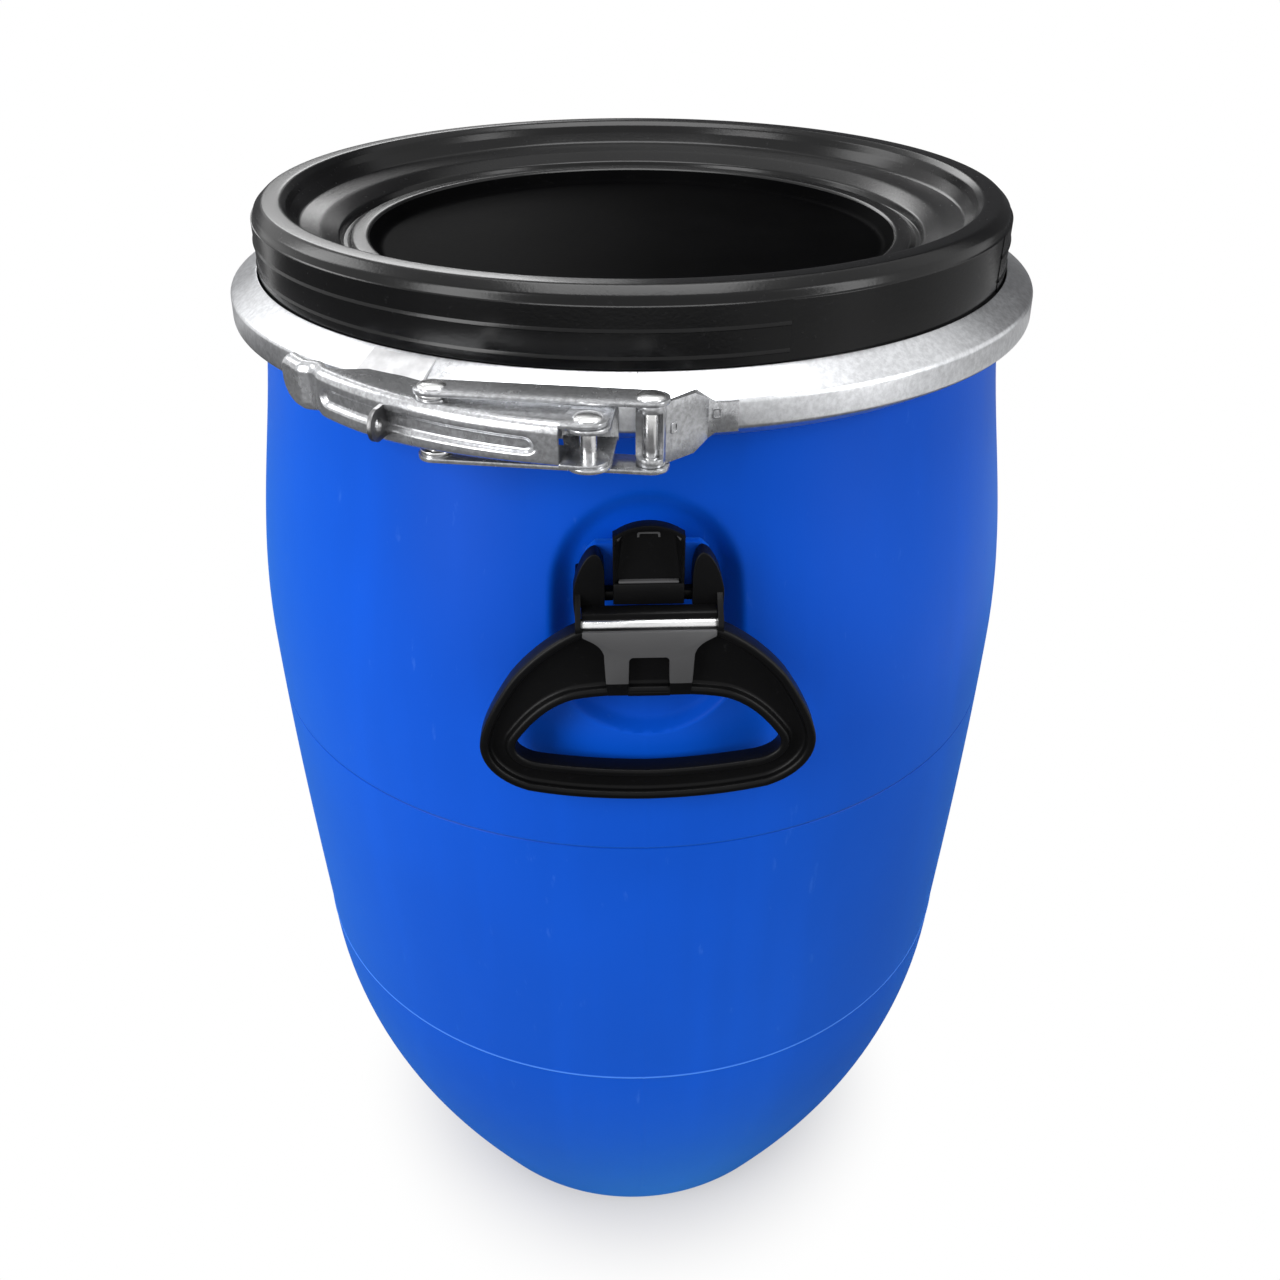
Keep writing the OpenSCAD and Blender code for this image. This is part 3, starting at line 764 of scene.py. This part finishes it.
def dome(bm, centre, z, radius, height, down=False):
    """A low domed rivet head that stands on a plate."""
    own = bmesh.new()
    profile = [(radius, 0), (radius, height * 0.28), (radius * 0.93, height * 0.5),
               (radius * 0.75, height * 0.76), (radius * 0.48, height * 0.93),
               (radius * 0.2, height), (0, height)]
    at = [polar(p[0], 0).to_3d() + Vector((0, 0, p[1])) for p in profile]
    verts, edges = loop_edges(own, at, closed=False)
    bmesh.ops.spin(own, geom=verts + edges, cent=(0, 0, 0), axis=(0, 0, 1),
                   angle=math.tau, steps=32, use_merge=True)
    bmesh.ops.remove_doubles(own, verts=own.verts, dist=0.001)
    bmesh.ops.holes_fill(own, edges=own.edges, sides=0)
    bmesh.ops.recalc_face_normals(own, faces=own.faces)
    flip = Matrix.Diagonal((1, 1, -1 if down else 1, 1))
    join(bm, own, Matrix.Translation((centre[0], centre[1], z)) @ flip)


def rod(bm, centre, low, high, radius):
    """A straight round pin along Z with slightly broken ends."""
    own = sheet_of([ring_of((0, 0), radius, 32)])
    thicken(own, high - low)
    round_edges(own, 0.3, 2)
    join(bm, own, Matrix.Translation((centre[0], centre[1], low)))


def lever_shape():
    """The lever's curved channel: rounded web with a pressed bead, a flared grip end and ears."""
    h, width, bend = LEVER_H, 18.0, 3.6
    bead_start, bead_margin, bead_depth = 31.0, 12.5, 1.9
    flange = [(LEVER_R - width + (width - bend) * i / 8, -h) for i in range(8)]

    def side(low, face, radius, degrees):
        """One side of the sheet: flange, corner, web, corner and flange."""
        turns = [math.radians(d) for d in degrees]
        half = [(p[0], low) for p in flange] + [
            (LEVER_R - bend + radius * math.sin(a), bend - h - radius * math.cos(a))
            for a in turns]
        web = [(face, (h - bend) * (i / 12 - 1)) for i in range(25)]
        return half + web + [(p[0], -p[1]) for p in reversed(half)]

    outer = side(-h, LEVER_R, bend, (0, 18, 36, 54, 72))
    inner = side(-h + SHEET, LEVER_R - SHEET, bend - SHEET, (0, 30, 60))
    own = bmesh.new()
    spin_bar(own, outer + inner[::-1], LEVER_TIP, LEVER_END - LEVER_TIP, 150,
             (LEVER_C.x, LEVER_C.y, 0))
    arc = math.radians(LEVER_END - LEVER_TIP) * LEVER_R
    for v in own.verts:
        flat = v.co.xy - LEVER_C
        r = flat.length
        # Distance along the curve from the tip
        s = math.radians(heading(flat) + 90 - LEVER_TIP) * LEVER_R
        on_web = r > LEVER_R - 2.2
        past = max(0.0, bead_start - s, s - (arc - bead_margin))
        if on_web:
            r -= bead_depth * (1 - smooth(1.9, 4.3, math.hypot(past, v.co.z - 0.3)))
        elif v.co.z > 0 and LEVER_R - r > 4:
            # The upper flange is narrow at the grip end
            r = LEVER_R - 4 - (LEVER_R - r - 4) * (0.08 + 0.92 * smooth(26, 46, s))
        r += 1.3 * (1 - smooth(12, 19, s)) - 1.6 * smooth(13, 19, s) * (1 - smooth(20, 27, s))
        if v.co.z < 0:
            v.co.z *= 1 - (1 - EAR_LOW) * smooth(0.3 * arc, arc, s)
        nose = 9 if v.co.z < 0 else 3
        left = min(nose, max(0, nose - s))
        v.co.z *= 1 - (nose - math.sqrt(nose ** 2 - left ** 2)) / h
        v.co.xy = flat.normalized() * r + LEVER_C
    for v in own.verts:
        flat = v.co.xy
        away = (flat - LEVER_C).normalized()
        for _ in range(40):
            if flat.length >= RING_CLEAR:
                break
            flat += away * (RING_CLEAR + 0.1 - flat.length) * 0.9
        v.co.xy = flat
    return own


def weld_marks(own):
    """Two small square spot welds, raised on the end plate's outer face."""
    plate = BVHTree.FromBMesh(own)
    for x, z in ((8.4, 576.4), (24.4, 577.0)):
        spot, normal, _, _ = plate.ray_cast((x, -300, z), (0, 1, 0))
        stand = Matrix.Translation(spot) @ normal.to_track_quat("Z", "Y").to_matrix().to_4x4()
        slab(own, [oblong(-1.7, 1.7, -2.1, 2.1, 0.6), oblong(-0.9, 0.9, -1.3, 1.3, 0.5)],
             -0.4, 0.75, stand)


class DRUM_OT_latch(bpy.types.Operator):
    """Build the lever, its links, the brackets and the rivets of the closing ring"""
    bl_idname = "drum.latch"
    bl_label = "Lever latch"

    def execute(self, context):
        zinc, steel = finish_named("dull_zinc"), finish_named("bright_steel")
        dark = finish_named("stamped_dark")
        for name, node, body in (("fulcrum_plate", "fulcrum_bracket", "ring_left"),
                                 ("end_plate", "end_bracket", "ring_right"),
                                 ("seal_lug", "seal_bracket", "ring_left")):
            own = copy_of(node)
            if name == "end_plate":
                weld_marks(own)
            round_edges(own, 0.35, 2)
            # The lug beyond the slot takes the dark grey, a painted shade
            for face in own.faces:
                middle = face.calc_center_median()
                if name == "seal_lug" and (middle.xy - SLOT_P).dot(LUG_DIR) > -1.0:
                    face.material_index = 1
            sheet = finish_named("matt_zinc") if name == "seal_lug" else zinc
            finished(name, own, sheet, body, [node], second=dark)
        own = lever_shape()
        bmesh.ops.translate(own, vec=(0, 0, CLAMP_Z), verts=own.verts)
        outward = heading(PIN_A - LEVER_C)
        arc_end = LEVER_END - 90
        ear = [LEVER_C + polar(LEVER_R - 0.4, 90 + arc_end + (outward - arc_end) * i / 5)
               for i in range(5)]
        ear += ring_of(PIN_A, 7.2, 24, outward, outward + 180)
        ear += [LEVER_C + polar(LEVER_R - 15.4, 90 + outward + (arc_end - outward) * i / 3)
                for i in range(1, 4)]
        for z in (LEVER_H - 1.58, -LEVER_H * EAR_LOW + 0.03):
            slab(own, [ear], CLAMP_Z + z, 1.55, None, 0.25)
        finished("lever_channel", own, zinc, "lever", ["lever"], sharp=35)
        along = (PIN_C - PIN_B).normalized()
        turn = heading(along)
        for name, z in (("link_plate_upper", LINK_TOP - SHEET), ("link_plate_lower", -LINK_TOP)):
            bm = bmesh.new()
            outline = ring_of(PIN_B, 6.8, 24, turn + 90, turn + 270)
            outline += ring_of(PIN_C, 6.8, 24, turn - 90, turn + 90)
            slab(bm, [outline], CLAMP_Z + z, SHEET, None, 0.35)
            finished(name, bm, zinc, "links",
                     ["link_upper" if z > 0 else "link_lower"])
        for name, node, body, centre, shank, heads in (
                ("fulcrum_rivet", "fulcrum_pin", "ring_left", PIN_A, (FULCRUM_FOOT - 0.4, LEVER_H),
                 ((LEVER_H, HEAD), (FULCRUM_FOOT, SMALL_HEAD))),
                ("lever_rivet", "lever_pin", "lever", PIN_B, (-LINK_TOP, LINK_TOP),
                 ((LINK_TOP, HEAD), (-LINK_TOP, HEAD))),
                ("end_rivet", "end_pin", "ring_right", PIN_C, (-11.4, 11.4), ()),
                ("end_rivet_heads", "end_pin_heads", "links", PIN_C, None,
                 ((LINK_TOP, HEAD), (-LINK_TOP, HEAD)))):
            bm = bmesh.new()
            if shank:
                rod(bm, centre, CLAMP_Z + shank[0], CLAMP_Z + shank[1], RIVET_R)
            for z, size in heads:
                dome(bm, centre, CLAMP_Z + z, *size, down=z < 0)
            finished(name, bm, steel, body, [node])
        washers = copy_of("lever_pin_washers")
        round_edges(washers, 0.3, 2)
        finished("lever_washers", washers, steel, "lever", ["lever_pin_washers"])
        return {"FINISHED"}


# ---------------------------------------------------------------- handles

def mirrored(half):
    """A closed outline from its right half, drawn from the top or the inside downwards."""
    return [Vector(p) for p in half] + [Vector((-p[0], p[1])) for p in reversed(half)]


def grip_outline():
    return mirrored(curves(
        (26.2, 0), (34, -3), (46, -11.5), (54.6, -22.9), (60, -31), (68.6, -46), (68.8, -55.5),
        (68.8, -66), (60.5, -74.4), (50, -78.4), (32, -83), (14, -84), (0.4, -84.2))
        + [(0.4, -84.2)])


def opening_outline():
    return mirrored(curves(
        (0.4, -30.6), (12, -30.6), (24, -31), (31.1, -33), (40, -36), (47, -43), (53.4, -52.5),
        (56.4, -57.5), (52, -62.5), (44.2, -64.2), (28, -67.2), (12, -68.6), (0.4, -68.8))
        + [(0.4, -68.8)])


def hang(y_front):
    """Places an outline measured from the handle's pin, with its raised side at a depth."""
    return Matrix.Translation((0, y_front, PIN_Z)) @ UPRIGHT


def grip(bm, thick):
    """The D shaped hand grip: two rounded rims with a sunk web between them, and its neck."""
    own = sheet_of([grip_outline(), opening_outline()])
    raised = thicken(own, thick - 0.8)
    rim = bpy.context.scene.drum_sizes.grip_rim / MM
    sink(own, raised, rim, 0.7, 3.4)
    bmesh.ops.remove_doubles(own, verts=own.verts, dist=0.01)
    round_edges(own, 1.25, 3, 40)
    join(bm, own, hang(PIN_Y + thick / 2))
    half = [(26.0, -0.4)]
    half += curves((26.0, -3.0), (22.5, -5), (17.8, -6.8), (17.4, -13), count=8)
    half += [(17.2, -21.7), (16.6, -30.6), (8.2, -30.6), (7.9, -13.6), (6.8, -12.4)]
    own = sheet_of([mirrored(half)])
    thicken(own, 6)
    bmesh.ops.bisect_plane(own, geom=list(own.verts) + list(own.edges) + list(own.faces),
                           plane_co=(0, -24.4, 0), plane_no=(0, 1, 0), dist=0.001)
    for v in own.verts:
        if v.co.y < -24.6 and v.co.z > 2:
            v.co.z += (v.co.y + 24.6) * 0.12
    round_edges(own, 0.5, 2, 14)
    # The neck plate takes the lighter grey, painted light
    for face in own.faces:
        if face.calc_center_median().y > -24.4:
            face.material_index = 1
    join(bm, own, hang(PIN_Y + thick / 2 - 4.0))
    slab(bm, [oblong(-8.6, 8.6, -30.8, -28.8)], 0, 3,
         hang(PIN_Y + thick / 2 - 6.4), 0.4)
    turns = [math.radians(a) for a in range(-168, 97, 12)]
    eye = [(2.62 * math.cos(a), 2.62 * math.sin(a)) for a in turns]
    eye += [(-0.3, 4.9), (1.2, 5.5), (5.6, 5.5), (7.0, 4.2), (7.0, -1.5), (5.2, -4.6), (2.5, -5),
            (-2.0, -5), (-4.0, -3.8), (-4.7, -1.6), (-4.7, -1.0), (-4.4, -0.5), (-2.6, -0.5)]
    own = sheet_of([eye])
    thicken(own, 2 * EYE_HALF)
    round_edges(own, 0.45, 2, 25, keep=lambda e: abs(e.verts[0].co.x) + abs(e.verts[0].co.y) > 4)
    join(bm, own, Matrix.Translation((-EYE_HALF, PIN_Y, PIN_Z)) @ CROSSWISE)


def bracket(bm):
    """The bracket over the boss: crossbar, tongue with a raised rim and two horns with cheeks."""
    bar_low, bar_high = 501.6, 506.0
    slab(bm, [oblong(-29.2, 29.2, bar_low, bar_high)], 189, 5.5, UPRIGHT, 0.8)
    arch = [(13.75, bar_low), (13.75, 531.0)] + [
        (22 * math.sin(math.radians(a)), 513.5 + 22 * math.cos(math.radians(a)))
        for a in (36, 30, 24, 18, 12, 6, 1)]
    own = sheet_of([mirrored(arch)])
    raised = thicken(own, 5.0)
    sink(own, raised, 1.5, 1.0, 3.8)
    # The downward walls at the top of the tongue's sunk face take the lighter grey, a painted
    # highlight
    for face in own.faces:
        if abs(face.normal.z) < 0.9 and face.normal.y < -0.2 and face.calc_center_median().y > 526:
            face.material_index = 1
    round_edges(own, 0.55, 3, 35)
    join(bm, own, Matrix.Translation((0, -192, 0)) @ UPRIGHT)
    slab(bm, [oblong(-13.75, 13.75, 502.0, 511.4)], 189.5, 9.0, UPRIGHT, 0.8)
    # The crossbar's step and the window's frame take the lighter grey: painted highlights
    give_second(slab(bm, [oblong(-11.6, 11.6, 510.8, 512.2)], 190.0, 7.8, UPRIGHT, 0.3))
    give_second(slab(bm, [oblong(-4.4, 4.4, 527.2, 531.2, 1), oblong(-3.6, 3.6, 527.9, 530.5, 0.7)],
                     193.0, 0.7, UPRIGHT))
    for side in (-1, 1):
        horn = [(17.0, 500.5)] + curves((17.0, 514), (17.0, 519), (18.2, 523.4), (20.6, 524),
                                        (24.4, 523.6), (27.6, 516), (29.2, 508), count=8)
        horn += curves((29.2, 508), (29.6, 502), (28.9, 496), (27.9, 491.6), count=6)
        horn += [(26.9, 490.8), (26.7, 500.5)]
        horn = [(side * p[0], p[1]) for p in horn]
        slab(bm, [horn], 189.5, 8.0, UPRIGHT, 2.2, 4)
        for near, high, depth, thick, edge in ((24.4, 511, 180.0, 11.0, 0.8),
                                               (12.0, 508, 179.8, 3.9, 0.6)):
            ends = sorted((side * near, side * 28.4))
            slab(bm, [oblong(*ends, bar_low, high)], depth, thick, UPRIGHT, edge)
        cheek = ring_of((PIN_Y, PIN_Z), 4.2, 20, 150, 275)
        cheek += [(-190, 491.8), (-190, 507), (-197, 507), (-206, 499.5)]
        spot = Matrix.Translation((26.4 if side > 0 else -28.6, 0, 0)) @ CROSSWISE
        slab(bm, [cheek], 0, 2.2, spot, 0.9)


class DRUM_OT_handles(bpy.types.Operator):
    """Build the two swing handles with their brackets and pins"""
    bl_idname = "drum.handles"
    bl_label = "Handles"

    def execute(self, context):
        black, steel = finish_named("black_handle"), finish_named("bright_steel")
        thick = context.scene.drum_sizes.grip_thickness / MM
        for side, turn in (("front", None), ("rear", TURNED)):
            bm = bmesh.new()
            grip(bm, thick)
            finished(side + "_grip_bow", bm, black, side + "_grip",
                     [side + "_handle_grip"], turn=turn, second=finish_named("smooth_neck"))
            bm = bmesh.new()
            bracket(bm)
            finished(side + "_bracket_clip", bm, black, "drum",
                     [side + "_handle_bracket"], turn=turn, second=finish_named("smooth_neck"))
            bm = bmesh.new()
            rod(bm, (0, 0), -27.9, 27.9, 2.5)
            bmesh.ops.transform(bm, matrix=Matrix.Translation((0, PIN_Y, PIN_Z))
                                @ Matrix.Rotation(math.pi / 2, 4, "Y"), verts=bm.verts)
            finished(side + "_bracket_pin", bm, steel, "drum",
                     [side + "_handle_pin"], turn=turn)
        return {"FINISHED"}


# ---------------------------------------------------------------- stage

# The camera's lens in millimetres, its place in metres and its turn in degrees
LENS = 34.25625
EYE_POINT = (-0.0200, -0.6031, 0.7432)
LOOK_DOWN = 32.31
LOOK_TURN = -1.9
# Light of the world on the object; what is seen of it is white
WORLD_FILL = 0.3


def lamp(name, place, aim, size, watts):
    """A soft rectangular lamp aimed at a point, unseen by the camera."""
    data = bpy.data.lights.new(name, "AREA")
    data.shape = "RECTANGLE"
    data.size, data.size_y = size
    data.energy = watts
    made = placed(name, data)
    made.location = place
    made.rotation_euler = (Vector(aim) - Vector(place)).to_track_quat("-Z", "Y").to_euler()
    made.visible_camera = False


def stage_board(name, corners, material):
    """A flat board of the stage, from its corners."""
    bm = bmesh.new()
    bm.faces.new([bm.verts.new(c) for c in corners])
    board = meshed(name, bm, material)
    return board


def seen_by(f):
    """1 for a ray from the camera, off a gloss or through a clear piece, else 0."""
    path = f.node("ShaderNodeLightPath").socket.node
    camera, gloss, clear = (Wire(f, path.outputs[f"Is {kind} Ray"])
                            for kind in ("Camera", "Glossy", "Transmission"))
    return camera + gloss + clear


class DRUM_OT_stage(bpy.types.Operator):
    """Set up the floor, lamps, world and camera"""
    bl_idname = "drum.stage"
    bl_label = "Stage"

    def execute(self, context):
        scene = context.scene
        scene.view_settings.view_transform = "Standard"
        f = Finish("pale_floor")
        tree = f.tree
        tree.nodes.remove(f.shader)
        seen = seen_by(f)
        x, y, _ = f.parts()
        away = f.node("ShaderNodeMath", {0: x * x + y * y}, operation="SQRT").between(0.04, 0.2)
        diffuse = f.node("ShaderNodeBsdfDiffuse", {"Color": (0.45, 0.45, 0.45, 1)})
        white = f.node("ShaderNodeEmission", {"Strength": 1.0})
        both = f.node("ShaderNodeMixShader", {0: away * seen, 1: diffuse, 2: white})
        output = next(n for n in tree.nodes if n.type == "OUTPUT_MATERIAL")
        tree.links.new(both.socket, output.inputs["Surface"])
        reach, lift = 14.0, 0.003
        stage_board("floor", [(x, y, 0) for x, y in oblong(-reach, reach, -reach, reach)],
                    f.material)
        grey, pale = (Finish(name, Base_Color=shade, Roughness=1.0, Specular_IOR_Level=0.0).material
                      for name, shade in (("grey_card", (0.10, 0.10, 0.103, 1)),
                                          ("pale_card", (0.62, 0.62, 0.62, 1))))
        front = [(x, y, lift) for x, y in oblong(-3.4, 0.8, -2.2, 1.5)]
        side = [(x, y, lift) for x, y in oblong(0.8, 3.4, -2.2, 1.5)]
        rear = [(x, 1.6, z) for x, z in ((-1.5, 0.0), (2.6, 0.0), (2.6, 2.4), (0.05, 2.4),
                                         (0.05, 0.94), (-1.5, 0.94))]
        for name, corners, card in (("front_card", front, grey), ("side_card", side, pale),
                                    ("rear_flag", rear, grey)):
            board = stage_board(name, corners, card)
            for ray in ("camera", "diffuse", "transmission", "shadow"):
                setattr(board, "visible_" + ray, False)

        world = bpy.data.worlds.new("studio")
        scene.world = world
        world.use_nodes = True
        w = Finish.__new__(Finish)
        w.tree = world.node_tree
        seen = seen_by(w).between(0.0, 1.0)
        background = next(n for n in w.tree.nodes if n.type == "BACKGROUND")
        background.inputs["Color"].default_value = (1, 1, 1, 1)
        w.put(background.inputs["Strength"], WORLD_FILL + seen * (1 - WORLD_FILL))

        lamp("top_softbox", (0, -0.1, 2.2), (0, 0, 0.4), (1.2, 1.0), 26)
        lamp("left_softbox", (-1.7, -1.4, 1.2), (0, 0, 0.4), (0.9, 1.8), 42)
        lamp("side_softbox", (-1.9, 0.8, 1.8), (0, 0, 0.6), (0.8, 1.0), 13)
        lamp("rear_softbox", (-0.6, 2.3, 1.75), (0, 0, 0.6), (1.0, 0.9), 11)
        lamp("right_softbox", (1.9, -1.1, 1.2), (0, 0, 0.4), (0.6, 1.8), 22)

        view = bpy.data.cameras.new("camera")
        view.lens = LENS
        view.shift_x = 0.0064
        view.shift_y = -0.0018
        camera = placed("camera", view)
        camera.location = EYE_POINT
        camera.rotation_euler = (math.radians(90 - LOOK_DOWN), 0, math.radians(LOOK_TURN))
        scene.camera = camera
        return {"FINISHED"}


# ---------------------------------------------------------------- settings

class DrumSizes(bpy.types.PropertyGroup):
    """Sizes of the drum that its maker would change."""
    wall: bpy.props.FloatProperty(
        name="Wall", description="Wall thickness", default=0.0032, unit="LENGTH")
    recess_width: bpy.props.FloatProperty(
        name="Recess width", description="Width of the handle recess", default=0.086, unit="LENGTH")
    panel_radius: bpy.props.FloatProperty(
        name="Panel radius", description="Radius of the lid's central panel", default=0.120,
        unit="LENGTH")
    rib_height: bpy.props.FloatProperty(
        name="Rib height", description="How far the skirt ribs stand out", default=0.0008,
        unit="LENGTH")
    ring_thickness: bpy.props.FloatProperty(
        name="Ring sheet", description="Sheet thickness of the closing ring", default=0.0012,
        unit="LENGTH")
    grip_thickness: bpy.props.FloatProperty(
        name="Grip thickness", description="Thickness of the hand grips", default=0.010, unit="LENGTH")
    grip_rim: bpy.props.FloatProperty(
        name="Grip rim", description="Width of the grip's rounded rims", default=0.0034, unit="LENGTH")


COLOUR = {"subtype": "COLOR", "size": 4, "min": 0, "max": 1}


class DrumColours(bpy.types.PropertyGroup):
    """Colours of the drum's finishes."""
    wall: bpy.props.FloatVectorProperty(
        name="Wall", description="Blown wall", default=(0.001, 0.08, 0.6, 1), **COLOUR)
    # Colour of the scuffs, which are wear, and of the painted highlight along the lower seam
    seam: bpy.props.FloatVectorProperty(
        name="Seam", description="Rubbed seams and scuffs of the wall",
        default=(0.12, 0.34, 0.9, 1), **COLOUR)
    lid: bpy.props.FloatVectorProperty(
        name="Lid", description="Moulded lid", default=(0.0028, 0.0028, 0.003, 1), **COLOUR)
    handle: bpy.props.FloatVectorProperty(
        name="Handle", description="Handle plastic", default=(0.003, 0.003, 0.0032, 1), **COLOUR)
    # Lighter grey: painted light on the neck plates and painted highlights on the brackets
    neck: bpy.props.FloatVectorProperty(
        name="Neck", description="Smooth neck plate of the grips",
        default=(0.07, 0.07, 0.072, 1), **COLOUR)
    zinc: bpy.props.FloatVectorProperty(
        name="Zinc", description="Galvanised strip", default=(0.72, 0.73, 0.75, 1), **COLOUR)
    steel: bpy.props.FloatVectorProperty(
        name="Steel", description="Pins and rivets", default=(0.78, 0.78, 0.78, 1), **COLOUR)


class DRUM_PT_panel(bpy.types.Panel):
    """Lists the drum's builders, sizes and colours"""
    bl_idname = "DRUM_PT_panel"
    bl_label = "Open head drum"
    bl_space_type = "VIEW_3D"
    bl_region_type = "UI"
    bl_category = "Drum"

    def draw(self, context):
        for group in (context.scene.drum_sizes, context.scene.drum_colours):
            for key in group.__annotations__:
                self.layout.prop(group, key)
        for builder in BUILDERS:
            self.layout.operator(builder.bl_idname)


BUILDERS = (DRUM_OT_stage, DRUM_OT_wall, DRUM_OT_lid, DRUM_OT_ring, DRUM_OT_latch,
            DRUM_OT_handles)
CLASSES = (DrumSizes, DrumColours) + BUILDERS + (DRUM_PT_panel,)


def register():
    for cls in CLASSES:
        bpy.utils.register_class(cls)
    bpy.types.Scene.drum_sizes = bpy.props.PointerProperty(type=DrumSizes)
    bpy.types.Scene.drum_colours = bpy.props.PointerProperty(type=DrumColours)


def unregister():
    del bpy.types.Scene.drum_sizes
    del bpy.types.Scene.drum_colours
    for cls in reversed(CLASSES):
        bpy.utils.unregister_class(cls)


def main():
    register()
    bpy.ops.drum.stage()
    bpy.ops.drum.wall()
    bpy.ops.drum.lid()
    bpy.ops.drum.ring()
    bpy.ops.drum.latch()
    bpy.ops.drum.handles()


if __name__ == "__main__":
    main()
